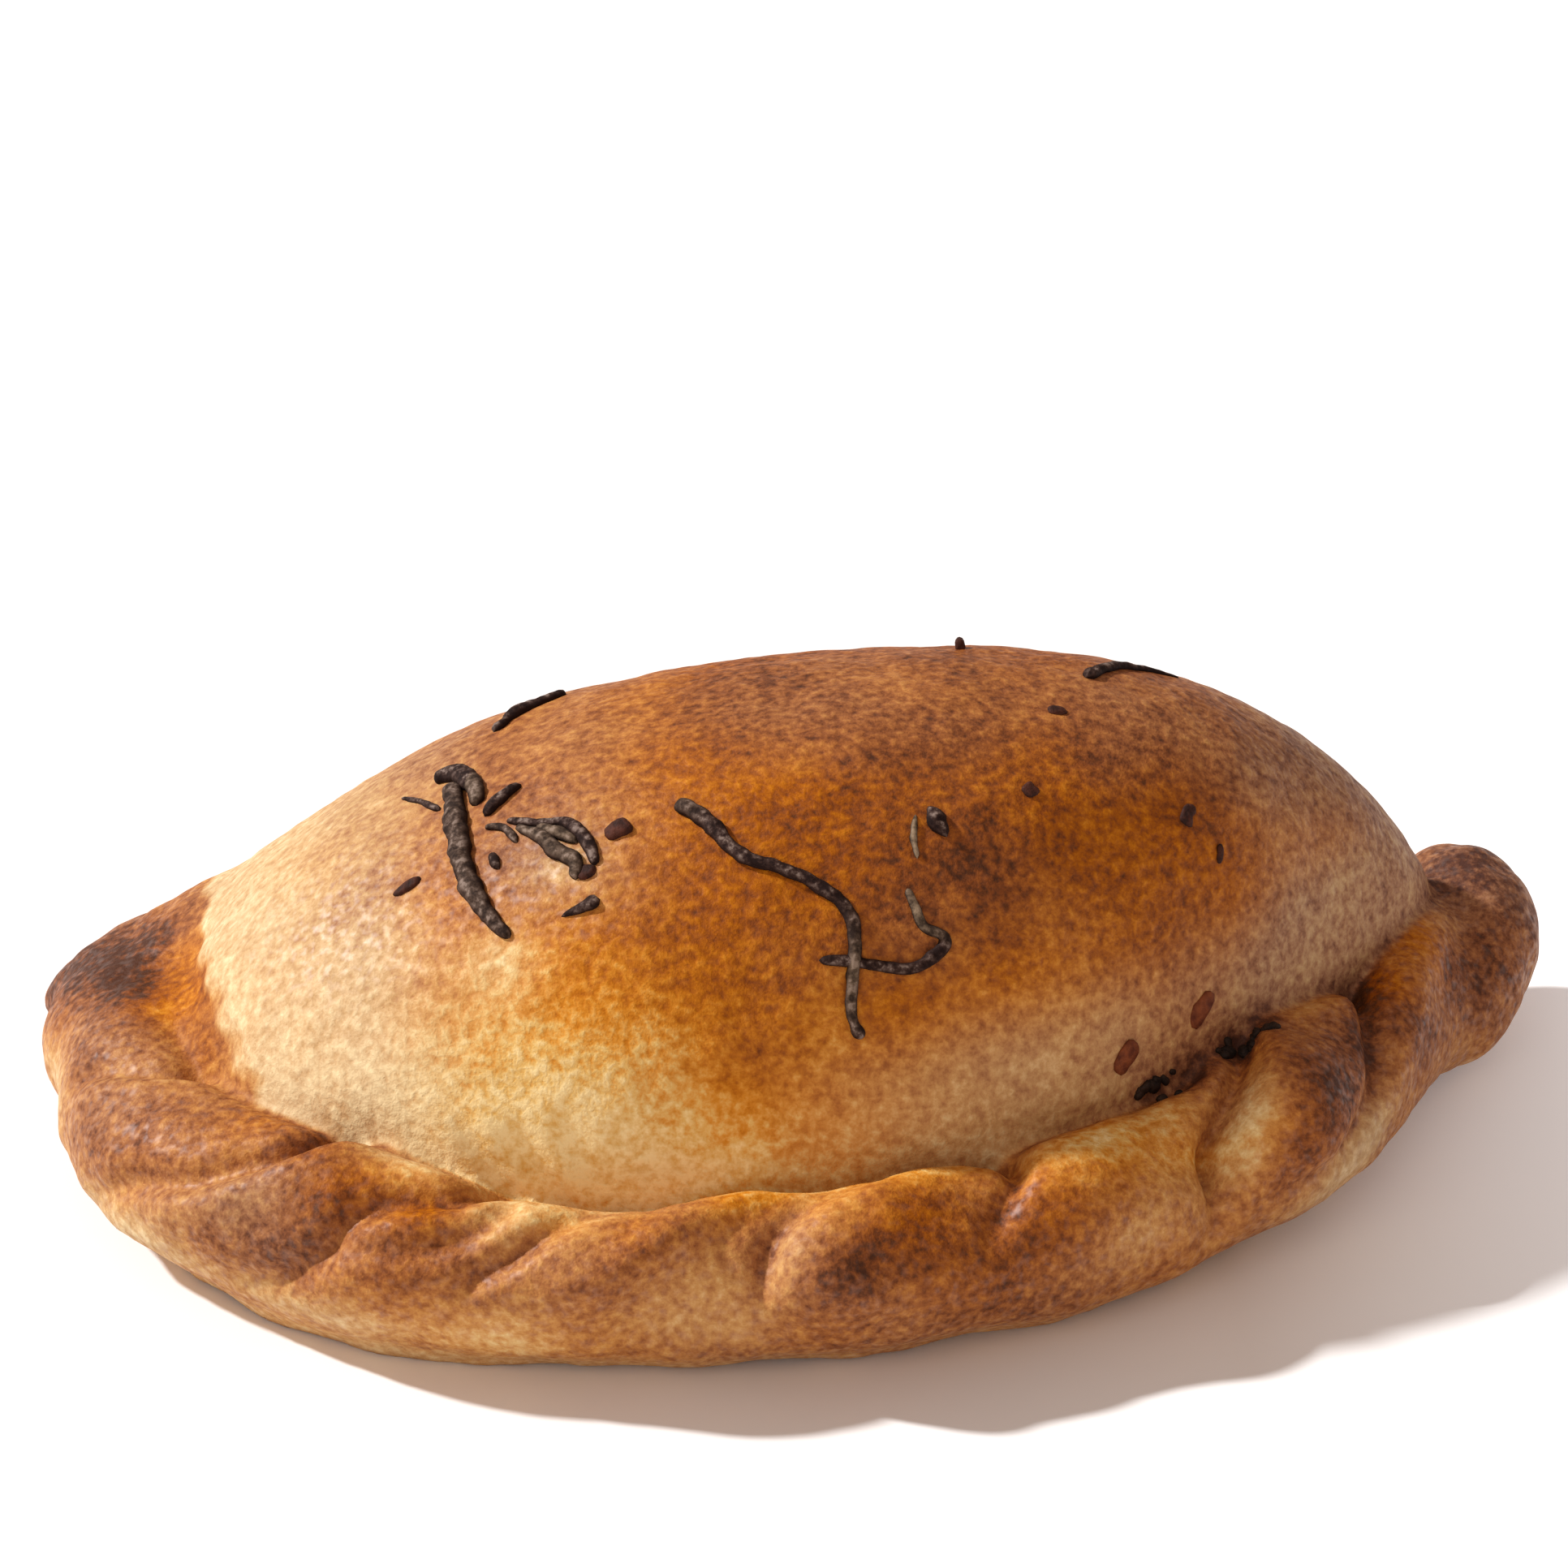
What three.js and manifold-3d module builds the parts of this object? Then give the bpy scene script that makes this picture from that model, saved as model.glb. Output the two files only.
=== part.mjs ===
/**
 * A baked empanada: one solid half-moon of dough with a plump pocket and a rope-folded rim.
 *
 * Millimetres, +Z up. The pie rests on its flat base at z = 0. Its rope-folded rim faces -Y, its folded
 * back faces +Y, and X runs from the pinched nose to the rolled knob. The sizes below are laid out on the
 * chord between the two tips of the half-moon, and the finished solid is then centred on its base.
 */
import * as THREE from "three";
import { mergeVertices } from "three/addons/utils/BufferGeometryUtils.js";
import Module from "manifold-3d";

const wasm = await Module();
wasm.setup();

// ---------------------------------------------------------------- driving sizes

const POCKET = {
  left: -59.5, // ends of the pocket along the chord
  right: 62.5,
  crest: { x: 5.5, height: 43, leftPower: 1.85, rightPower: 2.7, droop: 0.57 },
  leastHeight: 7, // of the dough at the two ends
  bellyHeight: 12, // where the pocket is widest
  sunk: 2.5, // how far the round underside would reach below the flat base
  tip: { rise: 5, power: 12 }, // the underside curls up at the very ends
  back: { bulge: 14, power: 2.2 },
  front: { bulge: 47.5, skew: 0.14, leftPower: 0.42, rightPower: 0.8 },
  leastHalfWidth: 2,
  upperPower: 2.15, // how square the cross-section is above and below its widest line
  lowerPower: 3,
};

const RIM = {
  // plan of the rim's centre line, round the front from the nose to the knob
  line: [
    [-56.5, 2], [-56.8, -13], [-50.3, -32.4], [-33, -46.2], [-6, -51.2],
    [20, -45.6], [42, -29], [54, -9.3], [60, 3.5],
  ],
  lift: 6.4, // height of the centre line
  core: 5.8, // radius of the plain roll under the folds
};

// Each fold is a blunt roll that climbs round the rim like a strand of rope: `at` is its middle as a share
// of the rim's length, `run` its length along the rim, `girth` its radius and `reach` how far its middle
// line lies from the rim's, while it turns from the angle `from` to the angle `to` (0 outward, 90 on top).
const FOLDS = [
  { at: 0.105, run: 24, girth: 5.2, reach: 3.4, from: 0, to: 110 },
  { at: 0.205, run: 34, girth: 5.8, reach: 4.0, from: 0, to: 115 },
  { at: 0.292, run: 36, girth: 5.6, reach: 4.0, from: -5, to: 115 },
  { at: 0.375, run: 31, girth: 4.9, reach: 4.2, from: -5, to: 105 },
  { at: 0.468, run: 32, girth: 4.7, reach: 3.8, from: 10, to: 125 },
  { at: 0.573, run: 36, girth: 5.8, reach: 4.0, from: 15, to: 130 },
  { at: 0.69, run: 31, girth: 5.2, reach: 4.2, from: 10, to: 125 },
  { at: 0.788, run: 27, girth: 6.8, reach: 4.2, from: 15, to: 110 },
  { at: 0.878, run: 27, girth: 5.6, reach: 4.2, from: 0, to: 100 },
];
const BLUNTNESS = 2.8; // of a fold's ends: 2 is an ellipse, more is blunter
const CORE_EVENNESS = 10; // keeps the rim's core at its full radius almost to its ends

const NOSE = { line: [[-66.2, -1, 5.6], [-60, -2.6, 7.3], [-50, -4, 9.5]], girth: 7.7, taper: 0.6 };
const KNOB = {
  line: [[55.5, -13.5, 6], [60.6, -8.2, 6.5], [63.8, -2.2, 9], [63.8, 3, 10.6], [61, 7, 11]],
  girth: 6.4,
};

// Facets around and along each kind of piece
const FACETS = { pocket: [56, 40], core: [14, 48], fold: [16, 14], nose: [16, 12], knob: [18, 16] };

const POLE_SPREAD = 1e-6; // a sphere's vertex nearer its axis than this is a pole
const TABLE_SIZE = 400;

// ---------------------------------------------------------------- rolls of dough

/** A curve whose points come from a function of the share along it. */
class Spine extends THREE.Curve {
  constructor(place) {
    super();
    this.place = place;
  }

  getPoint(t, target = new THREE.Vector3()) {
    return target.copy(this.place(t));
  }
}

/**
 * Moves each vertex of a unit sphere to the point that `place` gives for it, from its height between the
 * poles (1 to -1) and the cosine and sine of its turn round the axis, which are both 0 at a pole.
 */
function reshapedSphere([around, along], place) {
  const sphere = new THREE.SphereGeometry(1, around, along);
  sphere.deleteAttribute("normal");
  sphere.deleteAttribute("uv");
  const position = sphere.attributes.position;
  const vertex = new THREE.Vector3();
  for (let i = 0; i < position.count; i++) {
    vertex.fromBufferAttribute(position, i);
    const spread = Math.hypot(vertex.x, vertex.z);
    const atPole = spread < POLE_SPREAD;
    const point = place(vertex.y, atPole ? 0 : vertex.x / spread, atPole ? 0 : vertex.z / spread);
    position.setXYZ(i, point.x, point.y, point.z);
  }
  return mergeVertices(sphere);
}

/** A closed roll of dough along `spine`, with the radius `girth(t)` at the share t of the way along. */
function roll(spine, girth, facets) {
  const vertical = new THREE.Vector3(0, 0, 1);
  return reshapedSphere(facets, (pole, cosine, sine) => {
    const t = (1 - pole) / 2;
    const tangent = spine.getTangent(t);
    const side = new THREE.Vector3().crossVectors(tangent, vertical).normalize();
    const over = new THREE.Vector3().crossVectors(tangent, side);
    const point = spine.getPoint(t).addScaledVector(side, girth(t) * cosine);
    return point.addScaledVector(over, girth(t) * sine);
  });
}

/** A number drawn towards its sign's end of -1 to 1, as in the outline of a superellipse. */
const squared = (value, power) => Math.sign(value) * Math.abs(value) ** (2 / power);

/** The radius of a blunt-ended roll as a share of its girth. */
const blunt = (t, bluntness) => Math.sqrt(Math.max(0, 1 - Math.abs(2 * t - 1) ** bluntness));

// ---------------------------------------------------------------- the dough's pieces

/** Half-lengths and edges of the pocket's cross-section at the station x. */
function pocketSection(x) {
  const middle = (POCKET.left + POCKET.right) / 2;
  const share = THREE.MathUtils.clamp((x - middle) / (POCKET.right - middle), -1, 1);
  const { crest, back, front } = POCKET;
  const run = x < crest.x ? crest.x - POCKET.left : POCKET.right - crest.x;
  const fall = Math.min(1, Math.abs(x - crest.x) / run) ** (x < crest.x ? crest.leftPower : crest.rightPower);
  const top = Math.max(crest.height * (1 - fall) ** crest.droop, POCKET.leastHeight);
  const rearY = back.bulge * (1 - Math.abs(share) ** back.power);
  const roundness = (1 - share ** 2) ** (share < 0 ? front.leftPower : front.rightPower);
  const frontY = -front.bulge * (1 - front.skew * share) * roundness;
  const belly = Math.min(POCKET.bellyHeight, top / 2);
  const { sunk, tip } = POCKET;
  return {
    middleY: (frontY + rearY) / 2,
    halfWidth: Math.max((rearY - frontY) / 2, POCKET.leastHalfWidth),
    belly,
    above: top - belly,
    below: belly + sunk - tip.rise * Math.abs(share) ** tip.power,
  };
}

/** The filled pocket: a domed loft along the chord with a squarer underside. */
function pocket() {
  const middle = (POCKET.left + POCKET.right) / 2;
  const halfLength = (POCKET.right - POCKET.left) / 2;
  return reshapedSphere(FACETS.pocket, (pole, cosine, sine) => {
    const x = middle + halfLength * pole;
    const section = pocketSection(x);
    const isUpper = cosine > 0;
    const power = isUpper ? POCKET.upperPower : POCKET.lowerPower;
    const y = section.middleY + section.halfWidth * squared(sine, power);
    const z = section.belly + (isUpper ? section.above : section.below) * squared(cosine, power);
    return new THREE.Vector3(x, y, z);
  });
}

const rimLine = new THREE.CatmullRomCurve3(
  RIM.line.map(([x, y]) => new THREE.Vector3(x, y, RIM.lift)), false, "catmullrom", 0.5,
);
rimLine.arcLengthDivisions = 400;

/** The point `reach` away from the rim's centre line, at `angle` degrees from outward over the top. */
function besideRim(share, reach, angle) {
  const along = THREE.MathUtils.clamp(share, 0, 1);
  const tangent = rimLine.getTangentAt(along);
  const outward = new THREE.Vector3(tangent.y, -tangent.x, 0).normalize();
  const turn = THREE.MathUtils.degToRad(angle);
  const point = rimLine.getPointAt(along).addScaledVector(outward, reach * Math.cos(turn));
  point.z += reach * Math.sin(turn);
  return point;
}

function rimCore() {
  const spine = new Spine((t) => besideRim(t, 0, 0));
  return roll(spine, (t) => RIM.core * blunt(t, CORE_EVENNESS), FACETS.core);
}

function ropeFold({ at, run, girth, reach, from, to }) {
  const spine = new Spine((t) => {
    const share = at + ((t - 0.5) * run) / rimLine.getLength();
    return besideRim(share, reach, from + (to - from) * THREE.MathUtils.smoothstep(t, 0, 1));
  });
  return roll(spine, (t) => girth * blunt(t, BLUNTNESS), FACETS.fold);
}

const throughPoints = (line) => new THREE.CatmullRomCurve3(
  line.map((point) => new THREE.Vector3(...point)), false, "catmullrom", 0.5,
);

/** The pinched corner of the half-moon, which sticks out beyond the rope like a nose. */
function nose() {
  return roll(throughPoints(NOSE.line), (t) => NOSE.girth * t ** NOSE.taper, FACETS.nose);
}

/** The last strand of the rope, rolled up at the other corner. */
function knob() {
  return roll(throughPoints(KNOB.line), (t) => KNOB.girth * blunt(t, BLUNTNESS), FACETS.knob);
}

// ---------------------------------------------------------------- one solid

function solidOf(geometry) {
  const mesh = new wasm.Mesh({
    numProp: 3,
    vertProperties: new Float32Array(geometry.attributes.position.array),
    triVerts: new Uint32Array(geometry.index.array),
  });
  return new wasm.Manifold(mesh);
}

function geometryOf(solid) {
  const mesh = solid.getMesh();
  const geometry = new THREE.BufferGeometry();
  geometry.setAttribute("position", new THREE.BufferAttribute(new Float32Array(mesh.vertProperties), 3));
  geometry.setIndex(new THREE.BufferAttribute(new Uint32Array(mesh.triVerts), 1));
  geometry.computeVertexNormals();
  return geometry;
}

/** Everything below the table top, which the dough sets flat against. */
function table() {
  const slab = new THREE.BoxGeometry(TABLE_SIZE, TABLE_SIZE, TABLE_SIZE);
  slab.deleteAttribute("normal");
  slab.deleteAttribute("uv");
  slab.translate(0, 0, -TABLE_SIZE / 2);
  return mergeVertices(slab);
}

function empanada() {
  const pieces = [pocket(), rimCore(), ...FOLDS.map(ropeFold), nose(), knob()];
  const whole = pieces.map(solidOf).reduce((joined, piece) => joined.add(piece));
  const geometry = geometryOf(whole.subtract(solidOf(table())));
  geometry.computeBoundingBox();
  const middle = geometry.boundingBox.getCenter(new THREE.Vector3());
  geometry.translate(-middle.x, -middle.y, 0);
  geometry.computeBoundingBox();
  return geometry;
}

const crust = new THREE.MeshStandardMaterial({ color: "#c8843c", roughness: 0.62, metalness: 0 });

const part = new THREE.Group();
const dough = new THREE.Mesh(empanada(), crust);
dough.name = "dough";
part.add(dough);

export default part;
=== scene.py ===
"""A baked empanada on a pale floor: pocket, rope-folded rim, and herbs baked onto the crust.

Everything is worked out in millimetres on the chord between the pie's two tips (y = 0, front at -y),
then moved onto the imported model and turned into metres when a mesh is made.
"""

import math

import bpy
import numpy as np
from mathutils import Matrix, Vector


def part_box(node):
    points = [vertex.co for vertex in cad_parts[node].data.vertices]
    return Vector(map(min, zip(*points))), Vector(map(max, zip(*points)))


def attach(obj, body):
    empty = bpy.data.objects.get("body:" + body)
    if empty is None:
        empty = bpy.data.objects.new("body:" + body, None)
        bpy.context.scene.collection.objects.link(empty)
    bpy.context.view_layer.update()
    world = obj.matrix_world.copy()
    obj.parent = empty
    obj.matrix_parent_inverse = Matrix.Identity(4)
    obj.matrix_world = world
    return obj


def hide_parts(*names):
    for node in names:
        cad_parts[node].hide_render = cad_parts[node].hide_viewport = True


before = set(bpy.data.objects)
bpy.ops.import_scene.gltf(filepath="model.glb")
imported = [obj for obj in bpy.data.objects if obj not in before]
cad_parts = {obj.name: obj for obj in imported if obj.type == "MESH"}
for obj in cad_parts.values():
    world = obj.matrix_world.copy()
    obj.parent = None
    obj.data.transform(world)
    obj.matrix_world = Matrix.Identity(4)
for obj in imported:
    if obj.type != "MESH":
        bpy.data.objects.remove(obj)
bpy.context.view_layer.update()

import openvdb
from mathutils import Vector
from mathutils.bvhtree import BVHTree

MM = 0.001
VOXEL = 0.5
GRID_LOW = (-70.0, -62.0, -1.5)
GRID_HIGH = (74.0, 17.0, 46.0)
# a field's value where a form is too far away to matter, and a distance larger than any here
FAR, NOWHERE = 30.0, 1e3

# ---- sizes of the dough, as in the part

POCKET_LEFT, POCKET_RIGHT = -59.5, 62.5
POCKET_MIDDLE, POCKET_HALF = (POCKET_LEFT + POCKET_RIGHT) / 2, (POCKET_RIGHT - POCKET_LEFT) / 2
CREST_X, CREST_HEIGHT = 5.5, 43.5
CREST_LEFT_POWER, CREST_RIGHT_POWER, CREST_DROOP = 1.95, 2.7, 0.57
CREST_OVERRUN = 1.5
LEFT_CUT = 2.5
LEAST_HEIGHT = 7.0
BELLY_HEIGHT = 12.0
SUNK = 2.5
TIP_RISE, TIP_POWER = 5.0, 12
BACK_BULGE, BACK_POWER = 14.0, 2.2
FRONT_BULGE, FRONT_SKEW, FRONT_LEFT_POWER, FRONT_RIGHT_POWER = 47.5, 0.14, 0.42, 0.8
LEAST_HALF_WIDTH = 2.0
UPPER_POWER, LOWER_POWER = 2.15, 3.0
LEAST_SLOPE = 5e-3
END_SOFTNESS = 4.0

RIM_PLAN = [
    (-56.5, 2), (-56.8, -13), (-50.3, -32.4), (-33, -46.2), (-6, -51.2),
    (20, -45.6), (42, -29), (54, -9.3), (60, 3.5),
]
RIM_COUNT = 241
POINTS_AT_ONCE = 20000
RIM_LIFT = 6.4
ROPE_CORE = 5.8

# the first fold of the rope, which runs into the nose:
# at (share of the rim's length), run, girth, reach from the rim's middle line, first angle, last angle
FIRST_FOLD = (0.105, 24, 5.2, 3.4, 0, 110)
FOLD_BLUNTNESS = 2.8

NOSE_LINE = [(-66.3, -1, 5.8), (-60, -2.6, 7.0), (-50, -4, 10.0)]
NOSE_GIRTH, NOSE_TAPER = 7.7, 0.68
# the flat stretch of dough between the nose and the pocket's left end
WEB_LINE = [(-58, -6.5, 7.6), (-55, -13, 8.6), (-51.5, -22, 8.8)]
WEB_GIRTH = 6.0
KNOB_LINE = [(55.5, -13.5, 6), (60.6, -8.2, 6.5), (63.8, -2.2, 9), (63.8, 3, 10.6), (61, 7, 11)]
KNOB_GIRTH = 6.4
# the last strand of the rope, which runs up onto the knob
STRAND_LINE = [
    (45.5, -35, 7.2), (50.2, -29.4, 9.4), (52.3, -25.4, 11.2), (53.8, -20.3, 12.7), (55.2, -16.0, 13.4),
    (58.2, -9.3, 13.4), (62.0, -1.7, 12.4),
]
STRAND_GIRTH = 3.0

# in how many places a roll is worked out, and how finely its line is drawn for that
ROLL_STEPS, STRAND_STEPS, LINE_STEPS = 13, 25, 100
# how far from a roll, and from each end of the rim, the fields are worked out
ROLL_MARGIN, END_MARGIN = 11.0, 19.0
# how softly the rope and the rim's two ends run into the pocket
ROPE_BLEND = 0.8
NOSE_BLEND, KNOB_BLEND = 4.0, 1.2
# the first fold melts into the nose and the last strand into the knob
NOSE_MELT, KNOB_MELT = 5.0, 1.8
# the pocket's left end is a lip that stands over the strip of dough running out to the nose
LIP_X, LIP_TURN, LIP_BEND = -51.0, -10.0, 0.0095
LIP_STEP, LIP_SOFTNESS, LIP_FADE = 1.0, 0.5, 4.0
LIP_FRONT, LIP_BACK, LIP_RUN_OUT = -36.0, -8.0, 6.0
PLEAT_SPACING, PLEAT_DEPTH, PLEAT_SLANT = 4.3, 0.3, 0.5

# The rope is drawn unrolled: a place on it is its share of the rim's length in percent and its angle
# from outward over the top.  How far it stands from the middle line: share, on its face, on its side.
ROPE_SIZES = [
    (0, 5.8, 5.8), (10, 5.8, 5.8), (14, 8.8, 8.8), (18, 9.3, 9.2), (21, 9.3, 8.7), (25, 9.3, 7.8),
    (35, 8.9, 7.9), (42, 8.5, 7.4), (47, 8.4, 7.4), (50, 8.7, 7.6), (55, 9.2, 7.6), (60, 8.7, 7.5),
    (65, 8.9, 8), (70, 8.8, 8), (75, 9.6, 8.9), (80, 9.8, 8.8), (85, 9.4, 8.6), (89, 9.2, 8.4),
    (96, 8.8, 8), (100, 7, 7),
]
# how high its top stands: share, height above a line that falls back at the slope of its top
ROPE_TOPS = [
    (0, 9), (19, 9), (24, 9.3), (28, 8.9), (30, 8.3), (32.5, 8.5), (35, 7.6), (36.5, 6.7), (38, 5.8),
    (43, 5.8), (45, 6), (46.3, 7), (47.5, 7.9), (50, 8.3), (52.5, 7.9), (55, 7.9), (57.5, 8.5), (59.5, 8.5),
    (61.5, 7.1), (62.5, 7.5), (65, 8.1), (67.5, 8.5), (70, 8.6), (72.5, 8.4), (73.5, 8.6), (75, 10.3),
    (77, 11), (79.5, 10.2), (81.5, 9.2), (83, 8.4), (84.5, 6.8), (86, 5.8), (88, 5), (91, 4.8), (94, 5),
    (100, 5.6),
]
# how far its lower side goes straight down to the floor instead of rounding under: share, part of the way
ROPE_FEET = [(0, 0), (19, 0), (23, 0.25), (27, 0.3), (34, 0.25), (45, 0.1), (100, 0.1)]
# its top falls back at this slope, and behind its crest more steeply, to the pocket
TOP_SLOPE, BACK_SLOPE = 27.0, 50.0
# the soft edge between them takes a little off the top's height
TOP_SOFTNESS, TOP_TAKEN_OFF = 2.0, 0.35
# the angles between which its side turns into its foot, and its face into its side
FOOT_ANGLE = -55
FACE_ANGLES = (-5, 35)
LEAN_ANGLES = (8, 100)
ROPE_REACH = 8.8
ROPE_STEP = 0.3
ROPE_LOW, ROPE_HIGH = -90, 180

# creases of the rope, from their low end to their high end: (share, angle, depth in mm); then how much the
# dough stands up beyond the crease (right) and before it (left), against the crease's depth, and how round
# the edges that stand up are in mm
CREASES = [
    ([(14, 25, 0), (15.3, 45, 0.8), (17.3, 68, 1.0), (18.8, 92, 1.1), (19.2, 115, 1.2), (19.2, 140, 1.2)],
     1.0, 0.0, 1.0),
    ([(18.5, -15, 0), (20, 5, 0.4), (22.5, 30, 1.0), (24.7, 42, 1.2), (26.5, 58, 1.5), (28, 72, 1.8),
      (29.4, 90, 2.0), (30.4, 110, 2.0), (31, 140, 1.6)], 1.0, 0.3, 1.0),
    ([(27, -8, 0), (30.2, 15, 0.9), (31.5, 30, 1.2), (32.4, 50, 1.2), (34, 63, 1.2), (36.3, 72, 1.4),
      (38, 95, 1.4)], 0.5, 0.8, 1.1),
    ([(32, 32, 0.4), (34, 38, 0.5), (35.5, 43, 0.6), (37, 52, 0.8), (38.5, 70, 0.8)], 0.6, 0.5, 0.8),
    ([(34.5, 5, 0), (37.6, 33, 0.8), (39, 45, 1.2), (40.3, 57, 1.1), (42, 68, 0.6), (44, 85, 0)],
     0.9, 0.3, 1.0),
    ([(41, 12, 0), (43.5, 25, 0.3), (45.8, 36, 0.4), (47.3, 55, 0.5), (48.7, 66, 0.5), (50, 75, 0.4),
      (52, 84, 0)], -1.2, 1.9, 1.5),
    ([(48.8, 5, 0), (49.4, 24, 0.5), (49.8, 40, 1.5), (50.3, 55, 1.6), (51.3, 68, 1.1), (52.8, 79, 0.7),
      (55.5, 92, 0.3)], 1.3, 0.0, 2.2),
    ([(58.5, 22, 0), (59.6, 40, 0.4), (60.5, 57, 0.9), (61.3, 70, 1.4), (61.8, 82, 1.7), (62, 105, 1.7)],
     1.0, 0.0, 1.8),
    ([(70, -5, 0), (70.5, 18, 0.9), (70.9, 36, 2.2), (71.5, 55, 2.8), (72.9, 69, 2.8), (74.5, 80, 2.4),
      (76, 90, 1.8), (78, 105, 1.0)], 1.4, 0.0, 1.6),
    ([(71.5, 20, 0), (74.5, 17, 0.8), (77.5, 21, 1.0), (80, 33, 1.2), (81.6, 44, 1.5), (82.8, 55, 1.8),
      (84, 66, 2.0), (85.2, 78, 2.0), (86, 95, 1.8)], 0.4, 0.5, 1.2),
    ([(84, 20, 0), (86, 40, 0.5), (87, 52, 0.8), (87.5, 62, 1.0), (88, 76, 1.0)], 0.6, 0.0, 1.0),
]
CREASE_WIDTH, EDGE_FALL = 1.0, 6.0
# how far the creases wander from side to side, and over what length
WANDER, WANDER_SIZE = 0.7, 8
# swells and hollows of the rope: share, angle, half length, half width, tilt of the length, height
SWELLS = [
    (23, 62, 9, 3.5, 38, 0.7), (27, 50, 9, 3.5, 40, 0.8), (34.2, 54, 3.4, 2.2, 25, 0.8),
    (35, 18, 6, 3.5, 30, 0.6), (44.6, 46, 7, 2.2, 38, 1.3), (46.8, 18, 6, 4.5, 30, -1.1),
    (54, 50, 7, 5, 45, 0.8), (59.5, 55, 3, 4.5, 60, -0.9), (65, 60, 6, 4, 20, 0.5),
    (69.5, 50, 2.5, 5, 70, -0.8), (76.3, 50, 6, 4.5, 47, 2.2), (70.9, 46, 5.5, 2, 62, -1.3),
    (83, 40, 5, 3, 50, 0.4),
]


# ---- small helpers

def smoothstep(value, low, high):
    share = np.clip((value - low) / (high - low), 0, 1)
    return share * share * (3 - 2 * share)


def along_table(place, table):
    """The value at each place, from a list of (place, value)."""
    return np.interp(place, *np.array(table, float).T)


def soft_line(points, count):
    """A smooth curve through the points, in `count` steps."""
    points = np.array(points, float)
    first = 2 * points[0] - points[1]
    last = 2 * points[-1] - points[-2]
    padded = np.vstack([first, points, last])
    place = np.linspace(0, len(points) - 1, count)
    index = np.minimum(place.astype(int), len(points) - 2)
    t = (place - index)[:, None]
    a, b, c, d = (padded[index + k] for k in range(4))
    return 0.5 * (2 * b + (c - a) * t + (2 * a - 5 * b + 4 * c - d) * t**2 + (3 * b - a - 3 * c + d) * t**3)


def soft_union(first, second, blend):
    share = np.clip(0.5 + 0.5 * (second - first) / blend, 0, 1)
    return second * (1 - share) + first * share - blend * share * (1 - share)


def near_place(points, place, reach):
    """1 at the place, falling softly to 0 past its reach."""
    return np.exp(-((np.linalg.norm(points - place, axis=1) / reach) ** 2))


# random heights at the points of a lattice that repeats, and an oblique turn, so that its rows don't show
LATTICE_SIZE, SEED_SHIFT = 32, 17.3
LATTICE = np.random.default_rng(4).uniform(-1, 1, (LATTICE_SIZE,) * 3)
TURNED = np.array([[0.36, 0.48, -0.8], [-0.8, 0.6, 0.0], [0.48, 0.64, 0.6]])


def cell_corners(t):
    """The eight corners of a cell, each with its weight at places that are `t` of the way across."""
    for corner in range(8):
        step = np.array([corner & 1, corner >> 1 & 1, corner >> 2 & 1])
        yield step, np.where(step, t, 1 - t).prod(axis=1)


def hills(points, size, seed):
    """Soft random hills about `size` mm across, from -1 to 1."""
    place = points @ TURNED / size + SEED_SHIFT * seed
    cell = np.floor(place).astype(int)
    total = np.zeros(len(points))
    for step, weight in cell_corners(smoothstep(place - cell, 0, 1)):
        total += weight * LATTICE[tuple(((cell + step) % LATTICE_SIZE).T)]
    return total


def layered_hills(points, layers):
    """Hills of several sizes added up: size in mm, seed, height."""
    return sum(height * hills(points, size, seed) for size, seed, height in layers)


# ---- the rim's line

def even_rim_line():
    plan = soft_line(RIM_PLAN, RIM_COUNT)
    steps = np.hypot(*np.diff(plan, axis=0).T)
    along = np.concatenate([[0], np.cumsum(steps)]) / steps.sum()
    even = np.linspace(0, 1, RIM_COUNT)
    return np.c_[np.interp(even, along, plan[:, 0]), np.interp(even, along, plan[:, 1])], steps.sum()


RIM_LINE, RIM_LENGTH = even_rim_line()
RIM_TANGENT = np.gradient(RIM_LINE, axis=0)
RIM_TANGENT /= np.linalg.norm(RIM_TANGENT, axis=1)[:, None]
RIM_OUTWARD = np.c_[RIM_TANGENT[:, 1], -RIM_TANGENT[:, 0]]


def beside_rim(share, reach, angle):
    """Points `reach` from the rim's middle line, at `angle` degrees from outward over the top."""
    place = np.clip(share, 0, 1) * (len(RIM_LINE) - 1)
    index = np.clip(place.astype(int), 0, len(RIM_LINE) - 2)
    t = (place - index)[:, None]
    base = RIM_LINE[index] * (1 - t) + RIM_LINE[index + 1] * t
    outward = RIM_OUTWARD[index] * (1 - t) + RIM_OUTWARD[index + 1] * t
    side = base + outward * (np.cos(np.radians(angle)) * reach * np.ones(len(t)))[:, None]
    return np.c_[side, RIM_LIFT + np.sin(np.radians(angle)) * reach * np.ones(len(t))]


# ---- the dough as a distance field

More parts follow.
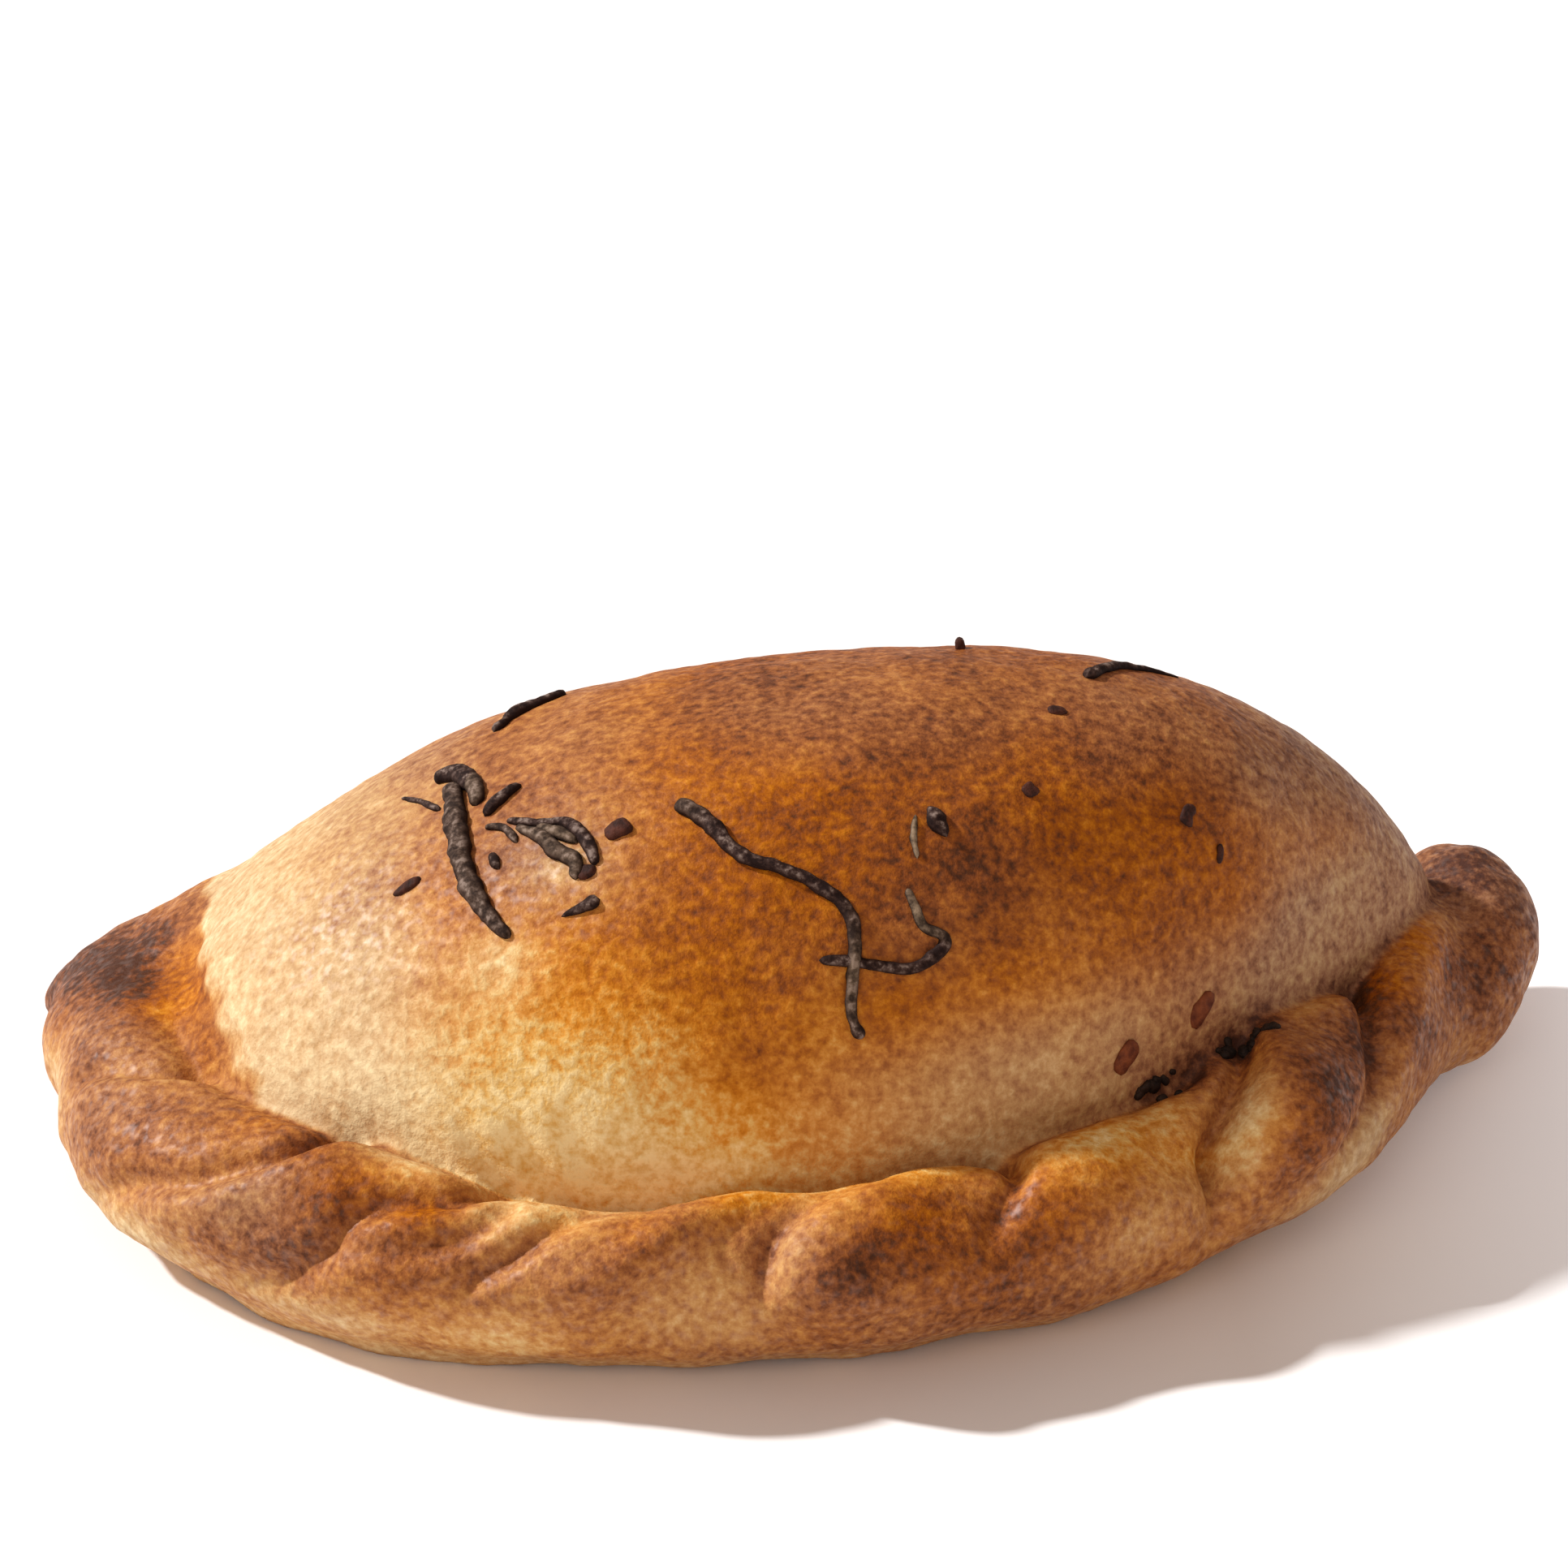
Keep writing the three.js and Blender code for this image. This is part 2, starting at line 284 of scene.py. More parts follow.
class Grid:
    def __init__(self, low, high, voxel):
        self.low = np.array(low)
        self.voxel = voxel
        self.size = np.ceil((np.array(high) - self.low) / voxel).astype(int)
        axes = [self.low[i] + voxel * np.arange(self.size[i]) for i in range(3)]
        self.points = np.stack(np.meshgrid(*axes, indexing="ij"), -1).astype(np.float32)

    def around(self, points, margin):
        low = np.clip(((points.min(0) - margin - self.low) / self.voxel).astype(int), 0, self.size)
        high = np.clip(((points.max(0) + margin - self.low) / self.voxel).astype(int) + 1, 0, self.size)
        return tuple(slice(a, b) for a, b in zip(low, high))

    def roll(self, spine, radii):
        """The field of a round roll along the spine, in the part of the grid around it."""
        block = self.around(spine, radii.max() + ROLL_MARGIN)
        field = np.full(self.points[block].shape[:-1], NOWHERE, np.float32)
        for a, b, start, end in zip(spine[:-1], spine[1:], radii[:-1], radii[1:]):
            near = self.around(np.array([a, b]), max(start, end) + ROLL_MARGIN)
            inner = tuple(slice(n.start - o.start, n.stop - o.start) for n, o in zip(near, block))
            offset = self.points[near] - a
            along = np.clip(offset @ (b - a) / ((b - a) @ (b - a)), 0, 1)
            away = np.linalg.norm(offset - along[..., None] * (b - a), axis=-1)
            field[inner] = np.minimum(field[inner], away - (start + (end - start) * along))
        return block, field

    def sample(self, field, points):
        """The field's value at each point, between the grid's own points."""
        place = np.clip((points - self.low) / self.voxel, 0, self.size - 1.001)
        cell = place.astype(int)
        total = np.zeros(len(points))
        for step, weight in cell_corners(place - cell):
            total += weight * field[tuple((cell + step).T)]
        return total


def front_line(x):
    share = np.clip((x - POCKET_MIDDLE) / POCKET_HALF, -1, 1)
    power = np.where(share < 0, FRONT_LEFT_POWER, FRONT_RIGHT_POWER)
    return -FRONT_BULGE * (1 - FRONT_SKEW * share) * (1 - share**2) ** power


def pocket_field(points):
    x, y, z = (points[..., i] for i in range(3))
    share = np.clip(np.abs((x - POCKET_MIDDLE) / POCKET_HALF), 0, 1)
    front = front_line(x)
    back = BACK_BULGE * (1 - share**BACK_POWER)
    centre = (front + back) / 2
    half_width = np.maximum((back - front) / 2, LEAST_HALF_WIDTH)
    run = np.where(x < CREST_X, CREST_X - POCKET_LEFT, POCKET_RIGHT + CREST_OVERRUN - CREST_X)
    fall_power = np.where(x < CREST_X, CREST_LEFT_POWER, CREST_RIGHT_POWER)
    fall = np.clip(np.abs(x - CREST_X) / run, 0, 1) ** fall_power
    top = np.maximum(CREST_HEIGHT * (1 - fall) ** CREST_DROOP, LEAST_HEIGHT)
    belly = np.minimum(BELLY_HEIGHT, top / 2)
    below = belly + SUNK - TIP_RISE * share**TIP_POWER
    across = np.abs((y - centre) / half_width)
    up = np.where(z > belly, (z - belly) / (top - belly), (belly - z) / below)
    power = np.where(z > belly, UPPER_POWER, LOWER_POWER)
    field = (across**power + np.abs(up) ** power) ** (1 / power) - 1
    slope = np.gradient(field, VOXEL)
    field = field / np.maximum(np.sqrt(sum(s**2 for s in slope)), LEAST_SLOPE)
    past_end = np.maximum(POCKET_LEFT + LEFT_CUT - x, x - POCKET_RIGHT)
    field = -soft_union(-np.clip(field, -FAR, FAR), -past_end, END_SOFTNESS)
    return field + pleats(x, y, z)


def pleats(x, y, z):
    """Soft upright folds where the pocket's dough is gathered into the rope, low on its left front."""
    place = (x + PLEAT_SLANT * z + 0.25 * y + 0.8 * np.sin(0.35 * z + 0.2 * x)) / PLEAT_SPACING
    where = smoothstep(x, -42, -35) * (1 - smoothstep(x, -20, -8)) * smoothstep(-y, 20, 26)
    where = where * (1 - smoothstep(z, 14, 23))
    return PLEAT_DEPTH * where * np.sin(2 * np.pi * place) * (0.7 + 0.3 * np.sin(0.9 * x))


def past_lip(points):
    """How far right of the lip each point lies, in plan."""
    x, y, z = (points[..., i] for i in range(3))
    wobble = 0.3 * np.sin(1.1 * y + 0.7 * z) + 0.2 * np.sin(2.3 * z - 0.6 * y)
    return x - LIP_X - LIP_BEND * np.maximum(LIP_TURN - y, 0) ** 2 + wobble


def under_lip(points):
    """1 where the pocket's left end gives way to the strip of dough that runs out to the nose."""
    return 1 - smoothstep(past_lip(points), -LIP_SOFTNESS, LIP_SOFTNESS)


def unit_steps(count=ROLL_STEPS):
    """Shares from 0 to 1, closer together towards the ends, where a roll rounds off."""
    return (1 - np.cos(np.linspace(0, np.pi, count))) / 2


def blunt(t):
    return (1 - np.abs(2 * t - 1) ** FOLD_BLUNTNESS) ** 0.5


def at_shares(line, shares):
    fine = soft_line(line, LINE_STEPS + 1)
    place = shares * LINE_STEPS
    index = np.minimum(place.astype(int), LINE_STEPS - 1)
    return fine[index] + (fine[index + 1] - fine[index]) * (place - index)[:, None]


def fold_roll(fold):
    """The spine and the radii of one rope fold."""
    at, run, girth, reach, first, last = fold
    t = unit_steps()
    share = at + (t - 0.5) * run / RIM_LENGTH
    angle = first + (last - first) * smoothstep(t, 0, 1)
    return beside_rim(share, reach, angle), girth * blunt(t)


def blunt_roll(line, girth, count=ROLL_STEPS):
    return at_shares(line, unit_steps(count)), girth * blunt(unit_steps(count))


FIRST_ROLL = fold_roll(FIRST_FOLD)
WEB_ROLL = blunt_roll(WEB_LINE, WEB_GIRTH)
NOSE_ROLL = at_shares(NOSE_LINE, unit_steps()), NOSE_GIRTH * unit_steps() ** NOSE_TAPER
KNOB_ROLL = blunt_roll(KNOB_LINE, KNOB_GIRTH)
STRAND_ROLL = blunt_roll(STRAND_LINE, STRAND_GIRTH, STRAND_STEPS)


def rim_place(points):
    """Each point's share of the rim's length, and how far outward it lies, seen in plan."""
    share = np.empty(len(points))
    outward = np.empty(len(points))
    step = RIM_LENGTH / (len(RIM_LINE) - 1)
    for start in range(0, len(points), POINTS_AT_ONCE):
        block = slice(start, start + POINTS_AT_ONCE)
        offset = points[block, None, :2] - RIM_LINE[None]
        nearest = (offset**2).sum(-1).argmin(1)
        offset = points[block, :2] - RIM_LINE[nearest]
        share[block] = (nearest + (offset * RIM_TANGENT[nearest]).sum(1) / step) / (len(RIM_LINE) - 1)
        outward[block] = (offset * RIM_OUTWARD[nearest]).sum(1)
    return share, outward


def flat_place(share, angle):
    """A place on the unrolled rope in millimetres, from its share in percent and its angle."""
    return np.array(share) / 100 * RIM_LENGTH, np.radians(angle) * ROPE_REACH


def spot_on_rope(share, angle, spot):
    """A soft oval spot on the unrolled rope: share, angle, half length, half width, tilt."""
    at_share, at_angle, half_length, half_width, tilt = spot
    along, up = flat_place(share - at_share, angle - at_angle)
    c, s = math.cos(math.radians(tilt)), math.sin(math.radians(tilt))
    return np.exp(-((along * c + up * s) / half_length) ** 2 - ((up * c - along * s) / half_width) ** 2)


def from_crease(along, up, crease):
    """Signed distance from a crease (right of it is positive), and the crease's depth there."""
    away = np.full(along.shape, NOWHERE)
    side = np.ones(along.shape)
    depth = np.zeros(along.shape)
    for (s0, a0, d0), (s1, a1, d1) in zip(crease[:-1], crease[1:]):
        (u0, v0), (u1, v1) = flat_place(s0, a0), flat_place(s1, a1)
        du, dv = u1 - u0, v1 - v0
        t = np.clip(((along - u0) * du + (up - v0) * dv) / (du * du + dv * dv), 0, 1)
        here = np.hypot(along - u0 - t * du, up - v0 - t * dv)
        closer = here < away
        away = np.where(closer, here, away)
        side = np.where(closer, np.sign((along - u0) * dv - (up - v0) * du), side)
        depth = np.where(closer, d0 + (d1 - d0) * t, depth)
    return away * side, depth


class Rope:
    """The rope's reach from its middle line, worked out once over its unrolled surface."""

    def __init__(self):
        self.shares = np.arange(0, 100, ROPE_STEP / RIM_LENGTH * 100)
        self.angles = np.arange(ROPE_LOW, ROPE_HIGH, math.degrees(ROPE_STEP / ROPE_REACH))
        share, angle = np.meshgrid(self.shares, self.angles, indexing="ij")
        face = along_table(share, [(at, face) for at, face, side in ROPE_SIZES])
        side = along_table(share, [(at, side) for at, face, side in ROPE_SIZES])
        reach = ROPE_CORE + (side - ROPE_CORE) * smoothstep(angle, FOOT_ANGLE, 0)
        straight = side / np.cos(np.radians(np.clip(angle, FOOT_ANGLE, 0)))
        reach = reach + along_table(share, ROPE_FEET) * (straight - reach) * (angle < 0)
        reach = reach + (face - side) * smoothstep(angle, *FACE_ANGLES)
        top = along_table(share, ROPE_TOPS) + TOP_TAKEN_OFF
        crest = top / math.cos(math.radians(TOP_SLOPE))
        back = crest * math.cos(math.radians(BACK_SLOPE))
        for height, slope in ((top, TOP_SLOPE), (back, BACK_SLOPE)):
            lean = np.sin(np.radians(np.clip(angle - slope, *LEAN_ANGLES)))
            reach = soft_union(reach, height / lean, TOP_SOFTNESS)
        along, up = flat_place(share, angle)
        flat = np.stack([along, up, 0 * up], -1).reshape(-1, 3)
        wander, stray = (WANDER * hills(flat, WANDER_SIZE, seed).reshape(along.shape) for seed in (21, 22))
        for crease, right, left, roundness in CREASES:
            away, depth = from_crease(along + wander, up + stray, crease)
            near = np.abs(away)
            edge = (1 - np.exp(-near / roundness)) * np.exp(-near / EDGE_FALL)
            reach = reach + depth * np.where(away > 0, right, left) * edge
            reach = reach - depth * np.exp(-((away / CREASE_WIDTH) ** 2))
        for *spot, rise in SWELLS:
            reach = reach + rise * spot_on_rope(share, angle, spot)
        self.reach = reach

    def at(self, share, angle):
        """The rope's reach at any share (0 to 100) and angle."""
        i = np.clip(share / (self.shares[1] - self.shares[0]), 0, len(self.shares) - 1.001)
        j = np.clip((angle - ROPE_LOW) / (self.angles[1] - self.angles[0]), 0, len(self.angles) - 1.001)
        a, b = i.astype(int), j.astype(int)
        s, t = i - a, j - b
        low = self.reach[a, b] * (1 - t) + self.reach[a, b + 1] * t
        high = self.reach[a + 1, b] * (1 - t) + self.reach[a + 1, b + 1] * t
        return low * (1 - s) + high * s


def rope_field(grid):
    """The rope's field over the whole grid."""
    columns = grid.points[:, :, 0].reshape(-1, 3)
    share, outward = rim_place(columns)
    share = share.reshape(grid.size[0], grid.size[1], 1) * 100
    outward = outward.reshape(share.shape)
    up = grid.points[..., 2] - RIM_LIFT
    angle = np.degrees(np.arctan2(up, outward + 0 * up))
    angle = np.where(angle < ROPE_LOW, angle + 360, angle)
    away = np.hypot(up, outward)
    past_end = np.maximum(-share, share - 100) / 100 * RIM_LENGTH
    field = away - Rope().at(share + 0 * up, angle)
    return np.maximum(field, past_end)


def dough_fields(grid):
    """The whole dough's field, and the pocket's own and the rim's own for telling them apart."""
    pocket = pocket_field(grid.points)
    rim = rope_field(grid)
    whole = soft_union(pocket, rim, ROPE_BLEND)
    ends = (
        ((NOSE_ROLL, FIRST_ROLL, WEB_ROLL), NOSE_MELT, NOSE_BLEND),
        ((KNOB_ROLL, STRAND_ROLL), KNOB_MELT, KNOB_BLEND),
    )
    for rolls, melt, blend in ends:
        block = grid.around(np.vstack([spine for spine, radii in rolls]), END_MARGIN)
        field = np.full(whole[block].shape, FAR, np.float32)
        for roll in rolls:
            near, part = grid.roll(*roll)
            inner = tuple(slice(max(n.start - o.start, 0), n.stop - o.start) for n, o in zip(near, block))
            outer = tuple(slice(max(o.start - n.start, 0), None) for n, o in zip(near, block))
            part = part[outer][tuple(slice(0, f) for f in field[inner].shape)]
            field[inner] = soft_union(field[inner], part, melt)
        whole[block] = soft_union(whole[block], field, blend)
        rim[block] = np.minimum(rim[block], field)
    step = under_lip(grid.points) * np.exp(np.minimum(past_lip(grid.points), 0) / LIP_FADE)
    y = grid.points[..., 1]
    step = step * smoothstep(y, LIP_FRONT, LIP_FRONT + LIP_RUN_OUT) * smoothstep(LIP_BACK - y, 0, LIP_RUN_OUT)
    whole = whole + LIP_STEP * step
    whole = (whole + blurred(whole, 1)) / 2
    whole = np.maximum(whole, -grid.points[..., 2])
    return whole, pocket, rim


def blurred(field, reach):
    """The field averaged over `reach` voxels to each side, along each axis in turn."""
    for axis in range(3):
        padding = [(0, 0)] * 3
        padding[axis] = (reach + 1, reach)
        total = np.cumsum(np.pad(field, padding, mode="edge"), axis=axis, dtype=np.float64)
        ahead = np.take(total, np.arange(2 * reach + 1, total.shape[axis]), axis=axis)
        behind = np.take(total, np.arange(0, total.shape[axis] - 2 * reach - 1), axis=axis)
        field = (ahead - behind) / (2 * reach + 1)
    return field


# ---- meshes

def mesh_piece(name, points, faces, material):
    """A smooth mesh piece from points in millimetres on the pie's chord."""
    mesh = bpy.data.meshes.new(name)
    mesh.from_pydata(((points + TO_FRAME) * MM).tolist(), [], faces)
    mesh.update()
    mesh.polygons.foreach_set("use_smooth", [True] * len(mesh.polygons))
    mesh.materials.append(material)
    piece = bpy.data.objects.new(name, mesh)
    bpy.context.scene.collection.objects.link(piece)
    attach(piece, "root")
    return piece


def keep_values(piece, **values):
    """Stores one number a vertex under each name, for the piece's material to read."""
    for name, numbers in values.items():
        layer = piece.data.attributes.new(name, "FLOAT", "POINT")
        layer.data.foreach_set("value", np.ascontiguousarray(numbers, np.float32))


def normals_of(points, faces):
    """Vertex normals of a mesh of quads."""
    a, b, c, d = (points[faces[:, i]] for i in range(4))
    flat = np.cross(c - a, d - b)
    total = np.zeros_like(points)
    for i in range(4):
        for axis in range(3):
            total[:, axis] += np.bincount(faces[:, i], flat[:, axis], len(points))
    return total / np.maximum(np.linalg.norm(total, axis=1), 1e-9)[:, None]


grid = Grid(GRID_LOW, GRID_HIGH, VOXEL)
whole_field, pocket_only, rim_only = dough_fields(grid)
vdb = openvdb.FloatGrid()
vdb.copyFromArray(np.ascontiguousarray(whole_field.astype(np.float32)))
vdb.transform = openvdb.createLinearTransform(voxelSize=1.0)
dough_points, dough_faces = vdb.convertToQuads(0.0)
dough_points = dough_points * VOXEL + grid.low
dough_faces = dough_faces.astype(int)

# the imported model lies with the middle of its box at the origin
cad_low, cad_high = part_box("dough")
plan_middle = (dough_points.min(0) + dough_points.max(0)) / 2
TO_FRAME = np.array([
    (cad_low.x + cad_high.x) / 2 / MM - plan_middle[0],
    (cad_low.y + cad_high.y) / 2 / MM - plan_middle[1],
    cad_low.z / MM,
])

# ---- relief of the baked crust

# how many voxels around itself the crust is read, for its steady normals and for its hollows, which get
# painted shade
STEADY_REACH, HOLLOW_REACH = 4, 2
# hills of the crust: size in mm, seed, height in mm on the pocket, and how much higher on the rim
FINE_HILLS = [(6.5, 2, 0.20, 0.22), (2.9, 4, 0.10, 0.07), (1.4, 5, 0.07, 0)]
BROAD_SIZE, BROAD_HEIGHT = 17, 0.50
# over what depth a hollow becomes one and gets its full painted shade, the pocket gives way to the rim, and
# the relief grows out of a crease
HOLLOW_RANGE, RIM_RANGE, OPEN_RANGE = (0, 0.25), (-0.6, 0.9), (-1.3, -0.2)
smooth_field = blurred(whole_field, STEADY_REACH)
protrusion = grid.sample(smooth_field, dough_points)
steady_normals = np.stack([
    grid.sample(smooth_field, dough_points + step) - grid.sample(smooth_field, dough_points - step)
    for step in 0.5 * np.eye(3)
], axis=1)
steady_normals /= np.maximum(np.linalg.norm(steady_normals, axis=1), 1e-9)[:, None]
crease_shade = smoothstep(-grid.sample(blurred(whole_field, HOLLOW_REACH), dough_points), *HOLLOW_RANGE)
on_rim = smoothstep(grid.sample(pocket_only, dough_points) - grid.sample(rim_only, dough_points), *RIM_RANGE)
relief = sum((low + more * on_rim) * hills(dough_points, size, seed) for size, seed, low, more in FINE_HILLS)
relief *= smoothstep(protrusion, *OPEN_RANGE)
relief += BROAD_HEIGHT * hills(dough_points, BROAD_SIZE, 1)
dough_points = dough_points + steady_normals * relief[:, None]
dough_points[:, 2] = np.maximum(dough_points[:, 2], 0)
dough_normals = normals_of(dough_points, dough_faces)

# ---- how far each place is baked, with painted shade and painted highlights added to it

x, y, z = dough_points.T
strip = np.maximum(on_rim, under_lip(dough_points))

# how baked the pocket is low down and high up, along its length: x, share
BAKED_LOW = [
    (-48, 0.25), (-42, 0.18), (-36, 0.14), (-30, 0.1), (-24, 0.06), (-18, 0.06), (-12, 0.16), (-6, 0.28),
    (0, 0.42), (12, 0.43), (24, 0.47), (30, 0.56), (36, 0.62), (42, 0.59), (60, 0.62),
]
BAKED_HIGH = [
    (-48, 0.45), (-36, 0.55), (-30, 0.62), (-24, 0.64), (-18, 0.62), (-12, 0.64), (-6, 0.72), (6, 0.75),
    (14, 0.76), (24, 0.71), (36, 0.7), (42, 0.66), (60, 0.63),
]
# how far up from low to high: height in mm, share
BAKED_UP = [
    (10, -0.9), (15, -0.35), (18, 0), (21, 0.12), (24, 0.33), (27, 0.52), (30, 0.7), (33, 0.85), (38, 1),
]
BACK_BAKED = 0.40
towards_back = smoothstep(dough_normals[:, 1], 0.1, 0.6)
low, high = along_table(x, BAKED_LOW), along_table(x, BAKED_HIGH)
low = low + (BACK_BAKED - low) * towards_back
pocket_baked = low + (high - low) * along_table(z, BAKED_UP)

# how dull, pinkish brown its colour is against the bright golden of the glazed middle; on the crown the added
# dullness is painted sheen
left_end = 1 - smoothstep(x, -36 - 12 * towards_back, -24 + 16 * towards_back)
left_shoulder = smoothstep(z, 32, 37) * (1 - smoothstep(x, -19, -8))
# painted sheen: the crown is duller and greyer, as where light glances off the top
crown_sheen = smoothstep(z, 40.5, 43)
low_right = smoothstep(x, -6, 20) * (1 - smoothstep(z, 21, 29))
right_end = smoothstep(x, 36, 46)
right_shoulder = smoothstep(z + 0.6 * x, 56, 60)
pocket_dull = 0.05 + (0.85 - 0.35 * towards_back) * left_end + 0.35 * crown_sheen + 0.40 * left_shoulder
pocket_dull += 0.70 * low_right + 0.50 * right_end + 0.40 * right_shoulder

rim_share, rim_outward = rim_place(dough_points)
rim_share = rim_share * 100
rim_angle = np.degrees(np.arctan2(z - RIM_LIFT, rim_outward))

# spots of the rope: share, angle, half length, half width, tilt; then how much darker (mostly more baked, in
# some spots painted light) and how much more dull
ROPE_BAKED, ROPE_DULL = 0.62, 0.42
ROPE_SPOTS = [
    # painted sheen: the dullness that the spots at share 4, 12, 14.5, 18.5, 23 and 26 add is partly the
    # folds' own pinkish brown, partly painted sheen
    (4, 60, 7, 5, 0, 0.08, 0.2), (10.5, 84, 6, 3, 0, 0.24, -0.2), (11.5, 13, 6, 3, 0, -0.32, 0.45),
    (12, 58, 6, 3.5, 0, 0.06, 0.25), (13, 112, 7, 2.5, 0, 0.08, -0.15), (14.5, 85, 3, 2.5, 90, 0.12, 0.1),
    (18.5, 40, 6, 4, 40, 0.1, 0.2), (19, 88, 3, 2.5, 40, -0.08, 0), (21.5, -7, 8, 2.2, 0, -0.38, 0.4),
    (22, 70, 4, 3, 40, 0.08, 0), (26, 94, 4, 2.5, 35, 0.02, -0.3), (29.3, 78, 2.5, 2, 40, 0.12, -0.3),
    (23, 15, 4, 3, 40, -0.06, 0.25), (26, 38, 3.5, 2, 40, -0.02, 0.2), (29.3, 30, 4, 3.5, 50, 0.16, 0.2),
    (28, 44, 4, 2.5, 40, -0.02, 0.3), (29.6, 18, 2.2, 1.6, 40, 0.14, 0), (31, -9, 7, 2.4, 0, -0.32, 0.3),
    (31.5, 62, 4, 2.2, 40, 0.1, -0.4), (34, 80, 3, 2, 10, -0.18, -0.15), (33, 93, 5, 2, 0, -0.25, 0.3),
    (35, 60, 3, 2, 20, 0, -0.45), (38, -12, 5, 2.4, 0, -0.24, 0), (38.5, 60, 3, 2.4, 30, -0.17, 0.1),
    (37.5, 35, 3, 2.5, 50, 0.06, 0), (39, 76, 5, 2, 0, -0.16, 0.05), (40, 92, 10, 2.2, 0, -0.24, -0.15),
    (41, 66, 2.5, 1.8, 0, -0.22, -0.3), (44, 62, 3, 2, 20, -0.02, -0.3),
    (44.6, 46, 6.5, 1.8, 37, 0.15, -0.1), (48.5, 80, 3, 2, 30, -0.12, -0.35),
    (34.5, 30, 5, 2.5, 20, 0.1, -0.1), (50.5, 88, 3, 2, 10, -0.1, -0.35), (50, 104, 14, 2, 0, -0.25, -0.3),
    (47, 15, 4.5, 4.5, 20, -0.16, 0.05), (50.5, 62, 3, 2.5, 60, 0.1, 0), (52, 27, 3, 3, 30, 0.12, 0.05),
    (43, 72, 3, 2, 20, -0.1, 0.1), (41, 3, 10, 3, 0, -0.12, 0), (50.9, 56, 4.5, 1.3, 75, -0.18, 0.15),
    (54, 46, 4, 2, 40, 0.12, -0.1), (53, 72, 4, 2.5, 45, -0.12, -0.1), (53.5, 28, 3, 3, 45, 0.1, 0),
    (56.5, 60, 5, 4, 45, 0.08, -0.4), (57.5, 92, 6, 2, 0, -0.3, -0.3), (59, 25, 5, 5, 60, 0.15, -0.25),
    (60, -8, 9, 3, 0, 0.14, 0), (62, 45, 4, 3, 50, 0.12, -0.25), (62.8, 76, 2, 2, 60, -0.18, -0.1),
    (65.5, 68, 5, 3.5, 20, -0.2, -0.25), (66, 82, 4, 2, 0, -0.32, -0.3), (65.5, 21, 4, 3, 30, -0.18, 0.2),
    (65.3, 42, 4.5, 1.8, 45, 0.16, -0.05), (68.5, 45, 3, 4, 60, -0.08, 0), (70, 80, 4, 3, 20, -0.3, -0.3),
    # painted highlight: the pale spot at share 72.8, angle 54 lights the left edge of fold 8, which lies in
    # the pocket's shadow
    (71, 50, 1.6, 5, 80, -0.18, -0.35), (72.8, 54, 6.5, 1.5, 44, -0.32, 0.15),
    (76, 84, 3, 1.5, 20, -0.1, -0.2), (73.6, 26, 3, 2, 20, 0.1, -0.1), (75.6, 56, 4.5, 2.5, 45, 0.12, 0),
    (77.6, 44, 6, 2.4, 22, 0.26, -0.1), (81.5, 56, 3, 2, 50, 0.12, 0), (82, 56, 3, 3, 60, 0.14, 0.2),
    (80, 18, 3.5, 2.5, 30, -0.12, 0.4), (77, 3, 6, 2.5, 10, -0.26, 0.45), (82, 92, 4, 2, 0, -0.2, 0),
    (85.5, 33, 3, 3.5, 50, 0.22, 0.05), (86, 76, 2.5, 2, 30, 0.18, -0.5), (86, 62, 2.5, 2, 60, -0.06, -0.2),
    (90.5, 66, 6, 1.8, 8, -0.1, -0.4), (91, 46, 4, 2, 10, 0.05, -0.25), (92, 30, 5, 4, 0, 0.16, 0.1),
    (94.5, 58, 3, 2.5, 0, -0.1, 0.1), (98, 50, 4, 6, 0, 0.1, 0.3), (90, 95, 7, 3, 0, 0.15, -0.3),
]
rim_baked_and_painted_light = np.full(len(dough_points), ROPE_BAKED)
rim_dull = np.full(len(dough_points), ROPE_DULL)
for *spot, darker, more_dull in ROPE_SPOTS:
    here = spot_on_rope(rim_share, rim_angle, spot)
    rim_baked_and_painted_light += darker * here
    rim_dull += more_dull * here
# pale where the underside sheet shows below the folds
base_edge = (1 - smoothstep(z, 1.0, 4.0)) * (1 - 0.8 * np.exp(-(((rim_share - 58) / 7) ** 2)))
rim_baked_and_painted_light -= 0.28 * base_edge
rim_dull += 0.25 * base_edge

# from here on the bake level also holds painted shade in creases and hollows, and painted highlights
baked = pocket_baked * (1 - strip) + rim_baked_and_painted_light * strip
dull = pocket_dull * (1 - strip) + rim_dull * strip

